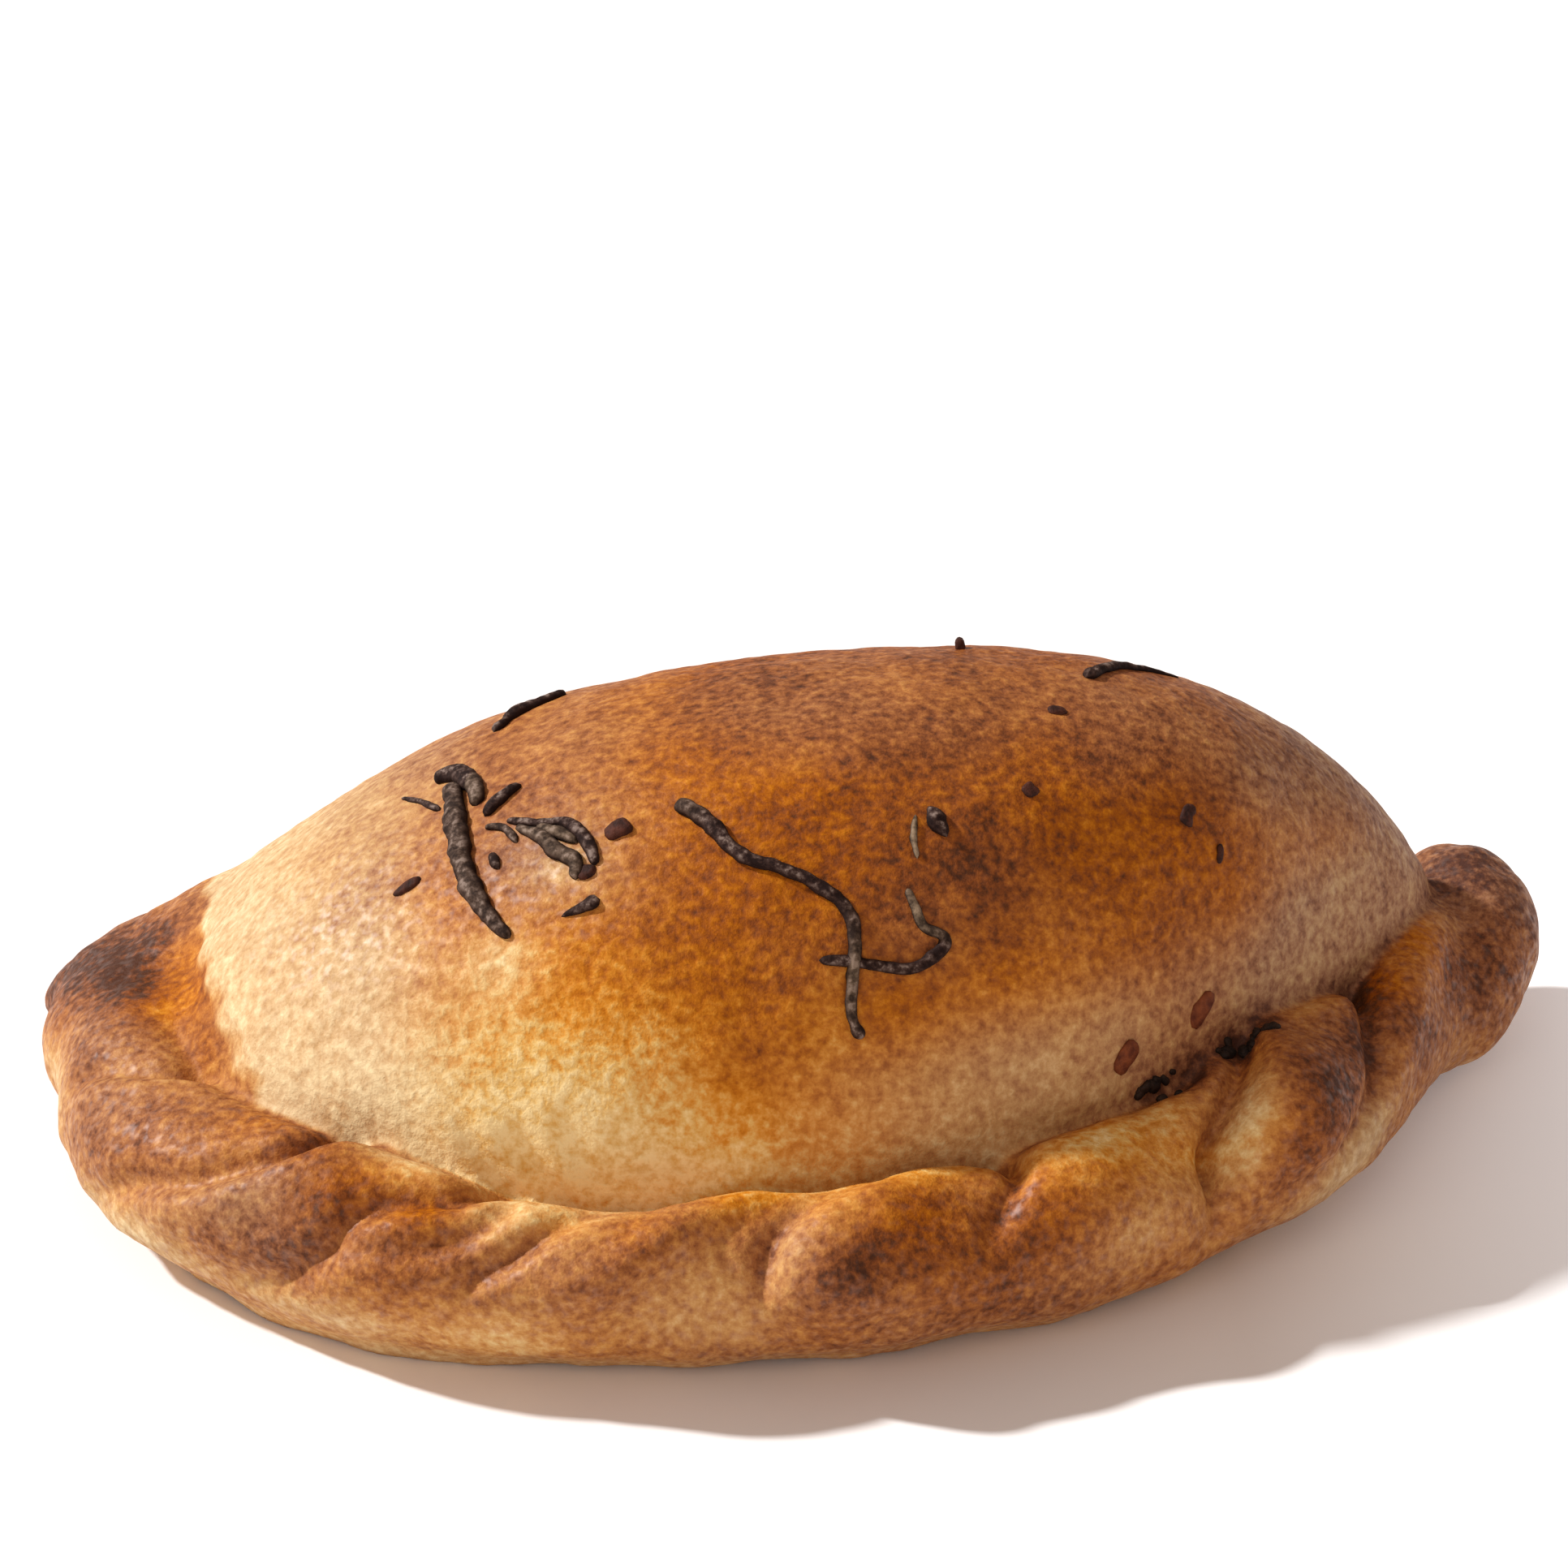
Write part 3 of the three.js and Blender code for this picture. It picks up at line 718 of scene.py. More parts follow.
# x, y, z, reach, how much darker (below nothing: lighter), and how much more dull; most spots are baking,
# some are painted shade and painted highlights
BAKED_AND_PAINTED_LIGHT_SPOTS = [
    (-3.5, -46, 24, 4, 0.12, 0), (15.5, -35, 35.5, 5.2, 0.16, 0.1), (8, -37, 31, 4, 0.08, 0.4),
    (-25, -38.5, 29.5, 4, -0.1, 0.3), (-23, -31, 34, 4.5, 0.14, 0.3), (8, -17, 43, 6, -0.12, 0.1),
    (36.8, -23.3, 34.6, 4.5, 0.12, 0.1), (27.6, -23, 40, 4, 0.02, 0.3), (-2, -27, 41, 4.5, -0.08, -0.1),
    (10, -27, 41, 4, 0.1, -0.1), (-38, -30, 28, 4, 0.06, 0), (-28, -39, 28, 4, 0.06, -0.05),
    (-51.8, -12.5, 15.5, 3.2, -0.22, -0.35), (-55, -8, 16.3, 3.5, 0.16, -0.1),
    # painted shade: the spot at (-49.8, -28) darkens the hollow between the web and the lip
    (-57, -14, 15.4, 3.2, 0.16, 0), (-53, -21, 15.5, 4, -0.2, -0.35), (-49.8, -28, 16, 2.5, 0.12, -0.2),
    # painted shade: the spots at (-38, -42) and (-27.5, -50) darken hollows where the rope meets the pocket;
    # from (31, -36.8) to (41, -29.5) the crack holds burnt filling, darkened further as its painted shade
    (-38, -42, 16, 3, 0.2, -0.1), (-27.5, -50, 15, 2.2, 0.15, -0.1), (31, -36.8, 15.5, 2, 0.3, 0),
    (34.5, -34.5, 15.6, 2, 0.3, 0), (38, -31.6, 16, 1.7, 0.38, 0), (41, -29.5, 16.4, 1.7, 0.38, 0),
    # painted shade: the spot at (50.5, -21.5) darkens the hollow between the pocket and the last strand
    (50.5, -21.5, 15.5, 3, 0.22, -0.1), (-64, -3, 9.5, 6, 0.22, 0), (-60, -9, 13, 6, 0.24, -0.1),
    # painted highlights: the paler, duller spots at (-19, -33) and (-23.7, -38.6) stand in for glints among
    # the herbs on the left shoulder
    (-66.5, -2, 7.5, 2.5, 0.15, 0.1), (64.5, -10.5, 10.7, 5, 0.14, 0), (-19, -33, 36, 3.6, -0.2, 0.35),
    (-23.7, -38.6, 30.4, 2.6, -0.2, 0.1), (-35.5, -27, 30.5, 4, 0.1, 0.05), (66, 2, 14, 8, 0.12, 0.3),
    (63, 2, 17.5, 4, 0.25, 0.3), (67, 5, 14, 3, 0.15, 0.2),
]
# blotches all over: size in mm, seed, how much
BAKED_BLOTCHES = [(12, 6, 0.04), (5, 7, 0.05)]
DULL_BLOTCHES = [(7, 9, 0.12)]
UNDERSIDE_BAKED, UNDERSIDE_BLOTCHES = 0.52, [(9, 8, 0.12)]
for *place, reach, darker, more_dull in BAKED_AND_PAINTED_LIGHT_SPOTS:
    here = near_place(dough_points, place, reach)
    baked += darker * here
    dull += more_dull * here
# painted shade: creases and hollows are darkened, though not under the lip
baked += 0.14 * crease_shade * (1 - under_lip(dough_points))
baked += layered_hills(dough_points, BAKED_BLOTCHES)
dull += layered_hills(dough_points, DULL_BLOTCHES)
underside = smoothstep(-dough_normals[:, 2], 0.6, 0.95)
underside_baked = UNDERSIDE_BAKED + layered_hills(dough_points, UNDERSIDE_BLOTCHES)
baked = baked * (1 - underside) + underside * underside_baked
baked, dull = np.clip(baked, 0.07, 1), np.clip(dull, 0, 1)

# the egg wash caught more on two places of the pocket's left shoulder
GLAZED_SPOTS = [(-38.5, -27, 28, 9), (-19, -34, 35, 6)]
GLAZE_CAUGHT = 1.4
glazed = 0.20 * (1 - on_rim) * smoothstep(z, 20, 30) + 0.80 * on_rim
for *place, reach in GLAZED_SPOTS:
    glazed += GLAZE_CAUGHT * near_place(dough_points, place, reach)


# ---- materials

class Recipe:
    """A material's nodes, made and joined in one place."""

    def __init__(self, tree):
        self.tree = tree

    def node(self, kind, **settings):
        made = self.tree.nodes.new(kind)
        for name, value in settings.items():
            setattr(made, name, value)
        return made

    def feed(self, socket, value):
        if isinstance(value, bpy.types.NodeSocket):
            self.tree.links.new(value, socket)
        elif value is not None:
            socket.default_value = value

    def math(self, operation, first, second=None, clamp=False):
        made = self.node("ShaderNodeMath", operation=operation, use_clamp=clamp)
        self.feed(made.inputs[0], first)
        self.feed(made.inputs[1], second)
        return made.outputs[0]

    def mix(self, share, first, second):
        made = self.node("ShaderNodeMix", data_type="RGBA")
        self.feed(made.inputs["Factor"], share)
        self.feed(made.inputs["A"], first)
        self.feed(made.inputs["B"], second)
        return made.outputs["Result"]

    def span(self, value, low, high, to_low=0.0, to_high=1.0):
        made = self.node("ShaderNodeMapRange")
        for socket, number in zip(made.inputs, (value, low, high, to_low, to_high)):
            self.feed(socket, number)
        return made.outputs[0]

    def ramp(self, value, stops):
        made = self.node("ShaderNodeValToRGB")
        stretch = made.color_ramp
        while len(stretch.elements) < len(stops):
            stretch.elements.new(0.5)
        for element, (place, colour) in zip(stretch.elements, stops):
            element.position = place
            element.color = (*colour, 1)
        self.feed(made.inputs[0], value)
        return made.outputs[0]

    def stored(self, name):
        return self.node("ShaderNodeAttribute", attribute_name=name).outputs["Fac"]

    def roughen(self, shader, height, strength, distance):
        """Gives the shader fine relief; the distance is in metres."""
        bump = self.node("ShaderNodeBump")
        bump.inputs["Strength"].default_value = strength
        bump.inputs["Distance"].default_value = distance
        self.feed(bump.inputs["Height"], height)
        self.feed(shader.inputs["Normal"], bump.outputs["Normal"])

    def group(self, group, **values):
        made = self.node("ShaderNodeGroup", node_tree=group)
        for name, value in values.items():
            self.feed(made.inputs[name], value)
        return made.outputs


def grain_group():
    """Fine baked grain: a mask of light specks and a height, both by size in metres."""
    group = bpy.data.node_groups.new("baked_grain", "ShaderNodeTree")
    for name, start in (("Size", 0.001), ("Roughness", 0.55), ("Sharpness", 0.3)):
        socket = group.interface.new_socket(name, in_out="INPUT", socket_type="NodeSocketFloat")
        socket.default_value = start
    for name in ("Specks", "Height"):
        group.interface.new_socket(name, in_out="OUTPUT", socket_type="NodeSocketFloat")
    recipe = Recipe(group)
    given = recipe.node("NodeGroupInput").outputs
    out = recipe.node("NodeGroupOutput").inputs
    place = recipe.node("ShaderNodeTexCoord").outputs["Object"]
    noise = recipe.node("ShaderNodeTexNoise")
    recipe.feed(noise.inputs["Vector"], place)
    recipe.feed(noise.inputs["Scale"], recipe.math("DIVIDE", 1.0, given["Size"]))
    recipe.feed(noise.inputs["Detail"], 3.0)
    recipe.feed(noise.inputs["Roughness"], given["Roughness"])
    low = recipe.math("ADD", 0.35, recipe.math("MULTIPLY", given["Sharpness"], 0.3))
    recipe.feed(out["Specks"], recipe.span(noise.outputs["Fac"], low, 0.75))
    recipe.feed(out["Height"], noise.outputs["Fac"])
    return group


def new_material(name):
    material = bpy.data.materials.new(name)
    material.use_nodes = True
    shader = material.node_tree.nodes["Principled BSDF"]
    return material, Recipe(material.node_tree), shader


BAKED_GRAIN = grain_group()

# from barely set dough to burnt: how baked, its colour where the glaze caught it, and the dull pinkish brown
# where it didn't
CRUST_TONES = [
    (0.00, (0.84, 0.65, 0.32), (0.80, 0.64, 0.38)),
    (0.20, (0.70, 0.435, 0.13), (0.645, 0.475, 0.27)),
    (0.32, (0.64, 0.298, 0.052), (0.565, 0.38, 0.20)),
    (0.42, (0.57, 0.214, 0.016), (0.49, 0.315, 0.150)),
    (0.54, (0.455, 0.142, 0.004), (0.42, 0.240, 0.115)),
    (0.68, (0.32, 0.085, 0.003), (0.31, 0.150, 0.075)),
    (0.82, (0.20, 0.050, 0.007), (0.19, 0.078, 0.040)),
    (0.92, (0.115, 0.033, 0.008), (0.11, 0.042, 0.024)),
    (1.00, (0.068, 0.023, 0.009), (0.072, 0.029, 0.020)),
]


def crust_material():
    material, recipe, shader = new_material("baked_crust")
    # the stored bake level, with its painted shade and painted highlights
    baked_and_light_here = recipe.stored("baked")
    grain = recipe.group(BAKED_GRAIN, Size=0.0009, Roughness=0.6, Sharpness=0.2)
    mottle = recipe.group(BAKED_GRAIN, Size=0.0036, Roughness=0.5, Sharpness=0.0)
    sheen = recipe.group(BAKED_GRAIN, Size=0.0007, Roughness=0.3, Sharpness=0.45)
    specks = recipe.math("MULTIPLY", recipe.math("SUBTRACT", grain["Height"], 0.5), 0.95)
    patches = recipe.math("MULTIPLY", recipe.math("SUBTRACT", mottle["Height"], 0.5), 0.25)
    level = recipe.math("ADD", recipe.math("SUBTRACT", baked_and_light_here, specks), patches, clamp=True)
    glazed_tone = recipe.ramp(level, [(place, glazed) for place, glazed, dull in CRUST_TONES])
    dull_tone = recipe.ramp(level, [(place, dull) for place, glazed, dull in CRUST_TONES])
    recipe.feed(shader.inputs["Base Color"], recipe.mix(recipe.stored("dull"), glazed_tone, dull_tone))
    recipe.feed(shader.inputs["Roughness"], recipe.span(grain["Height"], 0.3, 0.7, 0.62, 0.46))
    coat = recipe.math("MULTIPLY", recipe.stored("glazed"), sheen["Specks"])
    recipe.feed(shader.inputs["Coat Weight"], coat)
    shader.inputs["Coat Roughness"].default_value = 0.5
    shader.inputs["Specular IOR Level"].default_value = 0.1
    recipe.roughen(shader, grain["Height"], 0.6, 0.00035)
    return material


dough = mesh_piece("dough_crust", dough_points, dough_faces.tolist(), crust_material())
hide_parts("dough")
keep_values(dough, baked=baked, dull=dull, glazed=glazed)

# ---- herbs and crumbs baked onto the crust

crust_tree = BVHTree.FromPolygons(dough_points.tolist(), dough_faces.tolist())
chance = np.random.default_rng(11)


def on_crust(points):
    """The nearest places on the crust, with the way that it faces there."""
    found = [crust_tree.find_nearest(Vector(point)) for point in points]
    return np.array([f[0] for f in found]), np.array([f[1] for f in found])


def evened(vectors, times):
    for _ in range(times):
        padded = np.vstack([vectors[:1], vectors, vectors[-1:]])
        vectors = padded[:-2] + 2 * padded[1:-1] + padded[2:]
        vectors /= np.linalg.norm(vectors, axis=1)[:, None]
    return vectors


class Pile:
    """Many small closed pieces gathered into one mesh, each with its own values."""

    def __init__(self):
        self.points, self.faces, self.values = [], [], {}
        self.count = 0

    def add(self, points, faces, **values):
        self.faces += [tuple(self.count + i for i in face) for face in faces]
        self.points.append(points)
        self.count += len(points)
        for name, numbers in values.items():
            self.values.setdefault(name, []).append(np.broadcast_to(numbers, len(points)))

    def lay(self, name, material):
        piece = mesh_piece(name, np.vstack(self.points), self.faces, material)
        keep_values(piece, **{name: np.concatenate(v) for name, v in self.values.items()})


STEM_STEP, STEM_SIDES = 0.22, 14
STEM_FLATNESS, STEM_LIFT = 0.75, 0.35
# how uneven a stem is: size in mm, seed, share of its girth
STEM_KNOBS = [(1.6, 12, 0.22), (0.7, 13, 0.18)]
CRUMB_RINGS, CRUMB_SIDES, CRUMB_LIFT = 9, 14, 0.2
# crumbs are a little squarer than a ball; their unevenness goes by their size
CRUMB_ROUNDNESS, CRUMB_UNEVENNESS, CRUMB_SEED = 0.8, 0.45, 14


def ring_faces(rings, sides):
    """Four-sided faces that join each ring of points to the next."""
    for low in range(0, (rings - 1) * sides, sides):
        for k in range(sides):
            after = (k + 1) % sides
            yield low + k, low + after, low + sides + after, low + sides + k


def stem(pile, line, girths, pale):
    """A dried needle or stem lying along the crust; girths are its radii from end to end."""
    length = np.linalg.norm(np.diff(np.array(line, float), axis=0), axis=1).sum()
    count = max(int(length / STEM_STEP), 8)
    path, facing = on_crust(soft_line(line, count))
    facing = evened(facing, 6)
    t = np.linspace(0, 1, count)
    radius = np.interp(t, np.linspace(0, 1, len(girths)), girths)
    radius = radius * np.minimum(1, (1 - np.abs(2 * t - 1) ** (count / 3)) ** 0.5 + 0.05)
    path = path + facing * (radius * STEM_LIFT)[:, None]
    forward = evened(np.gradient(path, axis=0), 2)
    side = np.cross(forward, facing)
    turn = np.linspace(0, 2 * np.pi, STEM_SIDES, endpoint=False)
    rings = path[:, None] + radius[:, None, None] * (
        side[:, None] * np.cos(turn)[:, None] + STEM_FLATNESS * facing[:, None] * np.sin(turn)[:, None]
    )
    points = rings.reshape(-1, 3)
    centre = np.repeat(path, STEM_SIDES, axis=0)
    points = centre + (points - centre) * (1 + layered_hills(points, STEM_KNOBS))[:, None]
    faces = list(ring_faces(count, STEM_SIDES))
    faces.append(tuple(range(STEM_SIDES))[::-1])
    faces.append(tuple((count - 1) * STEM_SIDES + k for k in range(STEM_SIDES)))
    upper = np.tile(np.sin(turn), count)
    pale_here = np.repeat(np.interp(t, np.linspace(0, 1, np.size(pale)), np.atleast_1d(pale)), STEM_SIDES)
    pile.add(points, faces, upper=upper, pale=pale_here)


def crumb(pile, place, half, turn):
    """A small uneven flake or crumb: half sizes along, across and up from the crust."""
    centre, facing = on_crust([place])
    centre, facing = centre[0], facing[0]
    along = np.cross(facing, (0.0, 1.0, 0.3))
    along /= np.linalg.norm(along)
    across = np.cross(facing, along)
    angle = math.radians(turn)
    along, across = (
        along * math.cos(angle) + across * math.sin(angle), across * math.cos(angle) - along * math.sin(angle)
    )
    tilt = np.linspace(0, np.pi, CRUMB_RINGS)
    around = np.linspace(0, 2 * np.pi, CRUMB_SIDES, endpoint=False)
    tilt, around = np.meshgrid(tilt, around, indexing="ij")
    ball = np.stack([np.sin(tilt) * np.cos(around), np.sin(tilt) * np.sin(around), np.cos(tilt)], -1)
    ball = np.sign(ball) * np.abs(ball) ** CRUMB_ROUNDNESS
    points = (ball.reshape(-1, 3) * half) @ np.array([along, across, facing])
    uneven = 1 + CRUMB_UNEVENNESS * hills(points + np.array(place) * 7, max(half) * 0.9, CRUMB_SEED)
    points = centre + facing * half[2] * CRUMB_LIFT + points * uneven[:, None]
    faces = [(a, d, c, b) for a, b, c, d in ring_faces(CRUMB_RINGS, CRUMB_SIDES)]
    pile.add(points, faces, upper=0.5, pale=0)


HERB_STEMS = [
    # the bunch on the left shoulder: thick stem, its broken head, side needles
    ([(-28, -18.5, 35.5), (-27.5, -22.5, 35), (-27.3, -27, 34.5), (-26.5, -31, 33.5), (-25.2, -34.3, 32.4),
      (-23, -37.3, 31.3)], (0.85, 1, 0.98, 0.85, 0.47), 0.1),
    ([(-29.5, -15.8, 34.7), (-28.3, -16.2, 35.2), (-27, -17.6, 35.7), (-26, -20.3, 36)],
     (0.68, 1, 0.85), 0.0),
    ([(-26.9, -17.5, 35.5), (-25.8, -20.5, 36), (-25.8, -22.9, 35.9)], (0.77, 0.94, 0.59), 0.2),
    ([(-25.1, -24.9, 35.9), (-23.8, -23.7, 36.6), (-22, -22.4, 37.5)], (0.51, 0.64, 0.51), 0.0),
    ([(-32.5, -15.6, 33), (-30.8, -18.1, 33.9), (-29, -21.1, 34.6)], (0.17, 0.3, 0.38), 0.0),
    ([(-25.1, -26.1, 35.6), (-23.4, -27.3, 36), (-22.4, -29.4, 35.8)], (0.26, 0.42, 0.3), 0.1),
    ([(-24.6, -29.5, 35), (-23.9, -31.5, 34.5)], (0.34, 0.51, 0.34), 0.0),
    ([(-22.4, -27.6, 36.3), (-20.3, -29.9, 36.3), (-19, -31.7, 36), (-17.6, -33.3, 35.8), (-17.5, -34.7, 35)],
     (0.34, 0.68, 0.77, 0.51), 0.2),
    ([(-20.7, -28.4, 36.7), (-19, -30, 36.8), (-17.3, -31.5, 36.7)], (0.34, 0.59, 0.34), 0.3),
    ([(-23.4, -26.6, 36.6), (-20.9, -28.3, 37.2), (-18.2, -29.4, 37.6), (-16.6, -32, 37.2),
      (-16, -34.2, 36.3)], (0.3, 0.42, 0.5, 0.55, 0.42), 0.0),
    ([(-18.8, -37.1, 33), (-17, -36.9, 33.7), (-15.6, -36.7, 34.3)], (0.17, 0.42, 0.64), 0.0),
    # the long curled strand, and the one that crosses it and curls up
    ([(-9.1, -29.9, 39.3), (-6.5, -32.5, 38.6), (-4.2, -35.2, 37.3), (-1.3, -36.3, 36.7), (2.1, -37.5, 35.7),
      (4.4, -39, 34), (4.9, -40.7, 32), (4.6, -42.4, 29.7), (4.5, -43.8, 27.2), (5.3, -44.5, 25.4)],
     (0.85, 0.72, 0.59, 0.59, 0.64, 0.59, 0.55, 0.47, 0.59), (0.15, 0, 0, 0, 0, 0.1, 0.35, 0.15, 0.0)),
    ([(1.9, -41.7, 31.2), (4.8, -41.5, 30.9), (9.1, -41.3, 30), (11.6, -40.2, 30.8), (12.1, -39.3, 31.8),
      (10.6, -39.1, 32.6), (9.9, -38.1, 33.9), (9.3, -37.1, 35.1)],
     (0.34, 0.51, 0.51, 0.51, 0.47, 0.42, 0.3), (0, 0, 0, 0, 0.3, 0.7, 0.5)),
    ([(11.3, -31, 39), (11.9, -32.3, 38.4), (12.8, -33.4, 37.7)], (0.42, 0.95, 0.5), 0.0),
    ([(10.3, -31.9, 38.9), (10, -33.8, 38.1), (10.3, -35.5, 37.1)], (0.2, 0.35, 0.2), 0.7),
    # over the crown
    ([(-24.5, -10.9, 36.4), (-21.8, -7.9, 36.8), (-18.3, -5.2, 37.2)], (0.51, 0.72, 0.47), 0.0),
    ([(26.3, -12.1, 41.3), (29.2, -8.6, 40.4), (32.3, -6.3, 39), (35.3, -5.6, 37.8)],
     (0.68, 0.55, 0.34, 0.17), 0.0),
    # on the back, where the same mix would have fallen
    ([(-10, 5, 36), (-6.5, 8, 33), (-4.5, 10.5, 29)], (0.51, 0.68, 0.42), 0.1),
    ([(16, 8.5, 33), (20, 8, 33), (24, 8.5, 31), (26, 10, 27)], (0.59, 0.59, 0.51, 0.3), 0.1),
    ([(-26, 4, 32), (-25, 8, 27), (-26.5, 9.5, 23)], (0.42, 0.59, 0.34), 0.0),
    ([(36, 4, 31), (39, 5, 27), (40, 6, 23)], (0.42, 0.51, 0.26), 0.0),
]

# place, half sizes along, across and up, turn in degrees
DARK_FLECKS = [
    ((-13.9, -31.3, 37.7), (1.1, 0.9, 0.4), 20),
    ((-16.5, -34.3, 35.5), (0.8, 0.6, 0.35), 0),
    ((23.2, -18.6, 41.6), (0.9, 0.5, 0.3), 10),
    ((19.9, -28.2, 39.1), (0.8, 0.6, 0.25), 40),
    ((33.6, -24.8, 34.7), (0.7, 0.9, 0.3), 0),
    ((36.4, -25.6, 31.6), (0.4, 0.9, 0.25), 15),
    ((16, -5.5, 43), (0.5, 0.6, 0.9), 0),
    ((-31.9, -29, 31.5), (1.3, 0.5, 0.3), 15),
    ((7, 9, 32), (0.8, 0.6, 0.3), 30),
    ((-18, 9, 29), (0.9, 0.5, 0.3), 80),
    ((30, 9, 25), (0.7, 0.7, 0.3), 0),
]
RED_FLAKES = [
    ((28.1, -37.2, 18.7), (0.9, 1.5, 0.24), 12),
    ((35, -32.1, 20.3), (0.9, 1.6, 0.24), 20),
    ((12, 12, 22), (0.9, 1.4, 0.35), -20),
    ((-33, 6, 24), (0.8, 1.3, 0.35), 40),
]
# the filling that boiled out of the crease and burnt: from, to, how many crumbs
BURNT_RUNS = [
    ((29, -37.6, 15.3), (33.2, -35.2, 15.6), 9),
    ((36.6, -31.8, 15.6), (41.8, -30, 16.8), 12),
]

stems = Pile()
for line, girths, pale in HERB_STEMS:
    stem(stems, line, girths, pale)
flecks = Pile()
for place, half, turn in DARK_FLECKS:
    crumb(flecks, place, half, turn)
flakes = Pile()
for place, half, turn in RED_FLAKES:
    crumb(flakes, place, half, turn)
crumbs = Pile()
for start, end, count in BURNT_RUNS:
    for k in range(count):
        share = (k + chance.uniform(0, 0.8)) / count
        place = np.array(start) + (np.array(end) - start) * share + chance.normal(0, 0.25, 3)
        size = chance.uniform(0.35, 0.85)
        crumb(crumbs, place, (size, size * 0.7, size * 0.6), chance.uniform(0, 180))


def dried_herb_material():
    material, recipe, shader = new_material("dried_herb")
    grain = recipe.group(BAKED_GRAIN, Size=0.0008, Roughness=0.6, Sharpness=0.2)
    # painted highlight: the upper side of each stem is lighter, in specks, up to a pale grey
    ridge = recipe.span(recipe.stored("upper"), 0.1, 0.9)
    highlight_specks = recipe.span(grain["Height"], 0.40, 0.62)
    light = recipe.math("MULTIPLY", ridge, highlight_specks)
    dark = recipe.ramp(light, [
        (0.0, (0.012, 0.004, 0.003)),
        (0.4, (0.032, 0.014, 0.010)),
        (0.8, (0.090, 0.057, 0.046)),
        (1.0, (0.190, 0.138, 0.115)),
    ])
    husk = recipe.span(grain["Height"], 0.36, 0.56, 0.25, 1.0)
    pale = recipe.math("MULTIPLY", recipe.stored("pale"), recipe.math("MULTIPLY", ridge, husk))
    recipe.feed(shader.inputs["Base Color"], recipe.mix(pale, dark, (0.33, 0.24, 0.15, 1)))
    recipe.feed(shader.inputs["Roughness"], recipe.span(grain["Height"], 0.3, 0.7, 0.85, 0.65))
    shader.inputs["Specular IOR Level"].default_value = 0.15
    recipe.roughen(shader, grain["Height"], 0.7, 0.0002)
    return material


def flake_material(name, low, high, roughness):
    material, recipe, shader = new_material(name)
    grain = recipe.group(BAKED_GRAIN, Size=0.0009, Roughness=0.6, Sharpness=0.1)
    colour = recipe.ramp(recipe.span(grain["Height"], 0.35, 0.65), [(0.0, low), (1.0, high)])
    recipe.feed(shader.inputs["Base Color"], colour)
    shader.inputs["Roughness"].default_value = roughness
    shader.inputs["Specular IOR Level"].default_value = 0.2
    recipe.roughen(shader, grain["Height"], 0.8, 0.0003)
    return material


stems.lay("herb_needles", dried_herb_material())
flecks.lay("herb_flecks", flake_material("dark_fleck", (0.020, 0.006, 0.004), (0.075, 0.020, 0.010), 0.75))
flakes.lay("pepper_flakes", flake_material("pepper_flake", (0.085, 0.016, 0.005), (0.20, 0.050, 0.014), 0.7))
crumbs.lay("burnt_crumbs", flake_material("burnt_crumb", (0.008, 0.005, 0.004), (0.030, 0.014, 0.008), 0.7))

# ---- floor, light and camera

# where the painted glow of the backdrop starts and where it is whole, in metres to the right
GLOW_REACH = (0.035, 0.095)


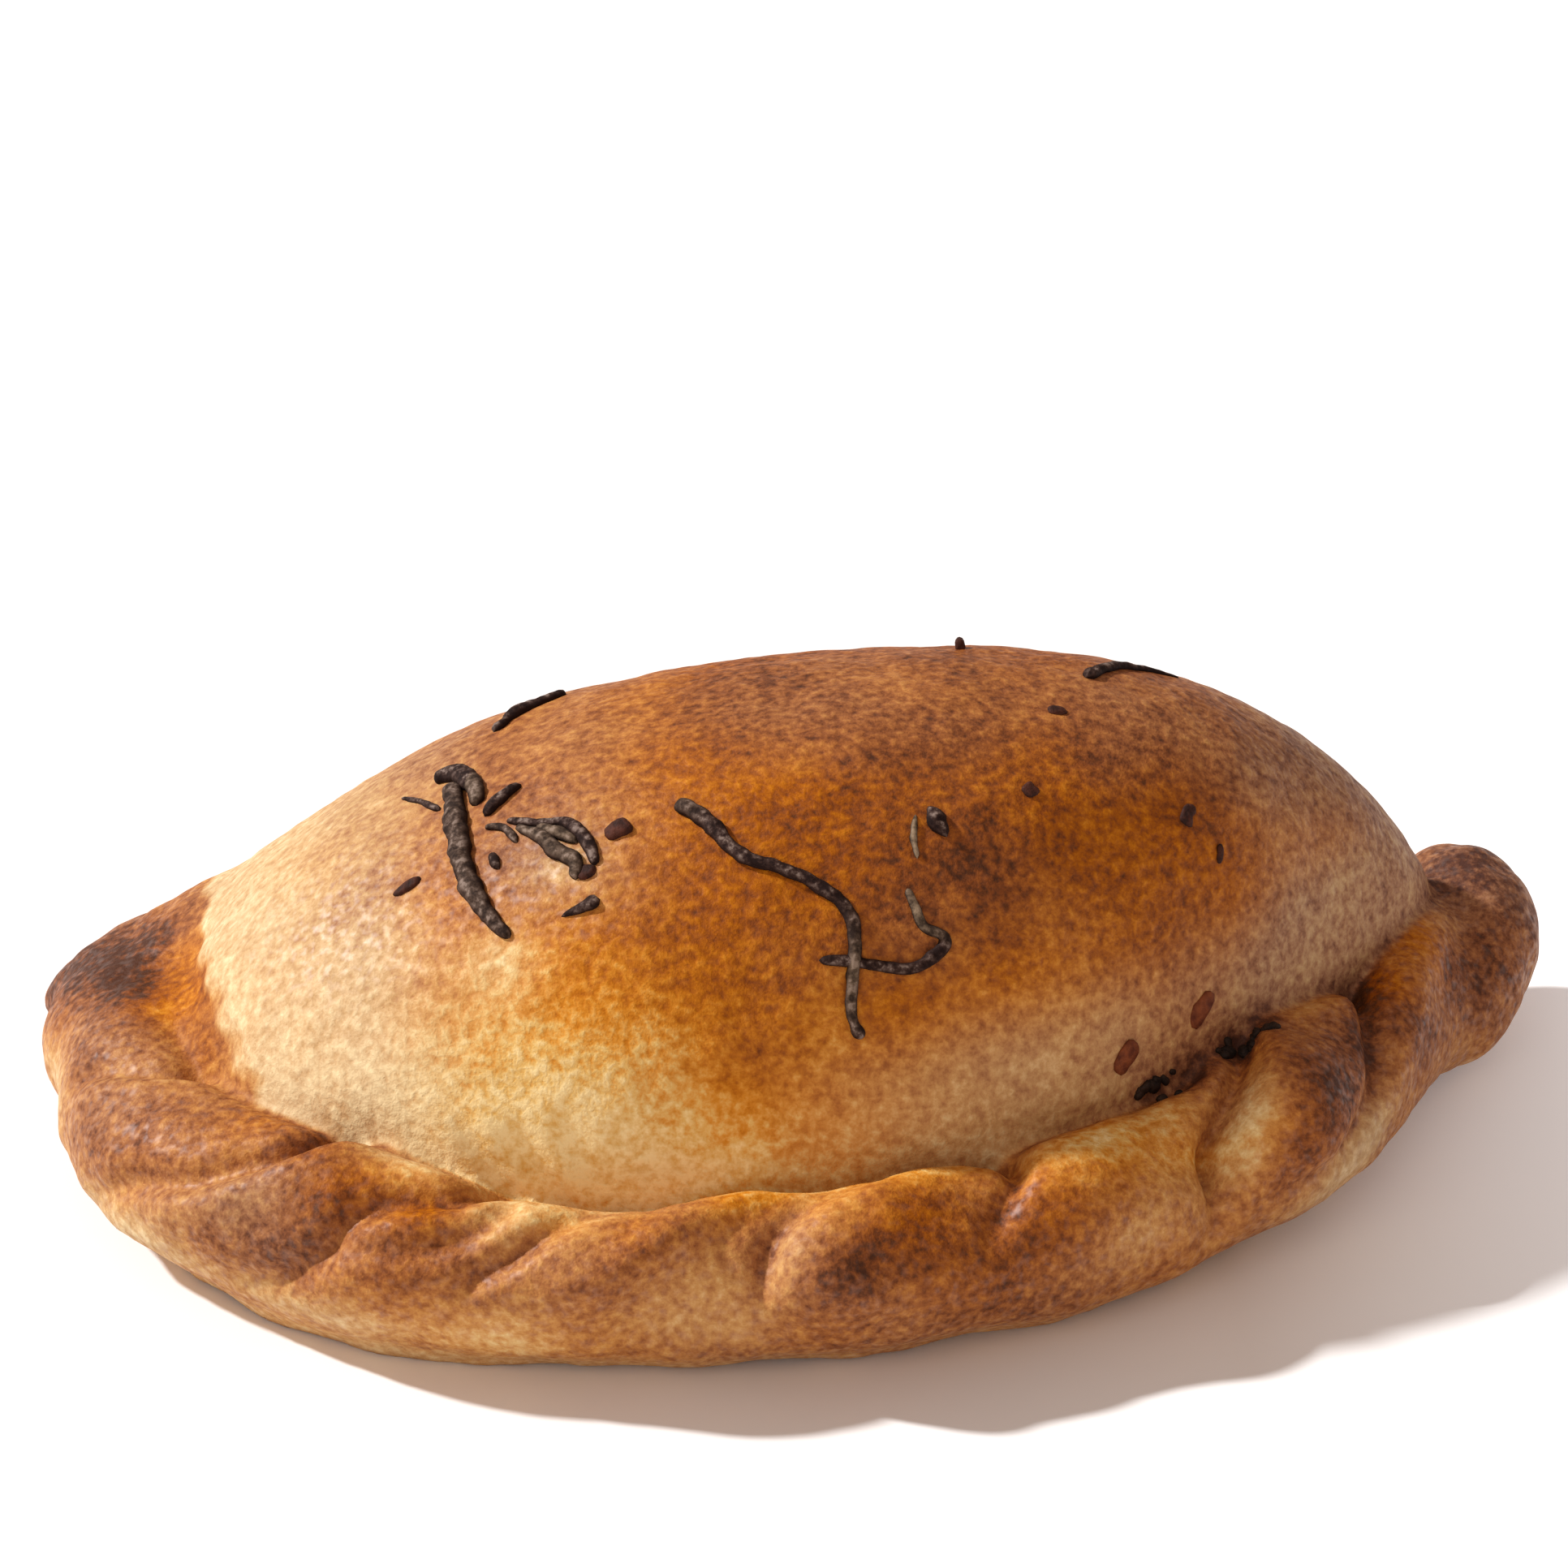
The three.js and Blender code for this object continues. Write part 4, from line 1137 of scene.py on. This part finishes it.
def floor_material():
    material, recipe, shader = new_material("pale_floor")
    grain = recipe.group(BAKED_GRAIN, Size=0.02, Roughness=0.5, Sharpness=0.0)
    tone = recipe.mix(grain["Specks"], (0.90, 0.90, 0.90, 1), (0.92, 0.92, 0.92, 1))
    recipe.feed(shader.inputs["Base Color"], tone)
    shader.inputs["Roughness"].default_value = 0.9
    # painted light: the backdrop glows a little, more towards the right, which lightens the shadow there
    along = recipe.node("ShaderNodeSeparateXYZ")
    recipe.feed(along.inputs["Vector"], recipe.node("ShaderNodeTexCoord").outputs["Object"])
    glow = recipe.span(along.outputs["X"], *GLOW_REACH)
    recipe.feed(shader.inputs["Emission Color"], recipe.mix(glow, (0, 0, 0, 1), (0.29, 0.31, 0.34, 1)))
    shader.inputs["Emission Strength"].default_value = 1.0
    return material


FLOOR_REACH = 8.0
floor_mesh = bpy.data.meshes.new("floor")
floor_corners = [(sx * FLOOR_REACH, sy * FLOOR_REACH, 0) for sx, sy in ((-1, -1), (1, -1), (1, 1), (-1, 1))]
floor_mesh.from_pydata(floor_corners, [], [(0, 1, 2, 3)])
floor_mesh.materials.append(floor_material())
floor = bpy.data.objects.new("floor", floor_mesh)
bpy.context.scene.collection.objects.link(floor)


def add_sun(name, towards, strength, spread, colour):
    lamp = bpy.data.lights.new(name, "SUN")
    lamp.energy = strength
    lamp.angle = math.radians(spread)
    lamp.color = colour
    holder = bpy.data.objects.new(name, lamp)
    holder.rotation_euler = Vector(towards).to_track_quat("Z", "Y").to_euler()
    bpy.context.scene.collection.objects.link(holder)


add_sun("key_light", (-0.724, 0.249, 0.643), 4.1, 3.5, (1, 1, 1))
add_sun("soft_fill", (-0.35, -0.80, 0.49), 0.65, 50, (1, 0.9, 0.8))
world = bpy.data.worlds.new("studio")
world.use_nodes = True
background = world.node_tree.nodes["Background"].inputs
background["Color"].default_value = (0.41, 0.32, 0.275, 1)
background["Strength"].default_value = 1.0
bpy.context.scene.world = world
bpy.context.scene.view_settings.view_transform = "Standard"

CAMERA_PLACE = (-14.35, -349.6, 205.1)
CAMERA_AZIMUTH, CAMERA_ELEVATION = -2.5, 27.1
CAMERA_LENS = 100
lens = bpy.data.cameras.new("camera")
lens.lens = CAMERA_LENS
lens.sensor_width = 36
camera = bpy.data.objects.new("camera", lens)
camera.location = (np.array(CAMERA_PLACE) + TO_FRAME) * MM
azimuth, elevation = math.radians(CAMERA_AZIMUTH), math.radians(CAMERA_ELEVATION)
backward = Vector((
    math.sin(azimuth) * math.cos(elevation), -math.cos(azimuth) * math.cos(elevation), math.sin(elevation)
))
camera.rotation_euler = backward.to_track_quat("Z", "Y").to_euler()
bpy.context.scene.collection.objects.link(camera)
bpy.context.scene.camera = camera
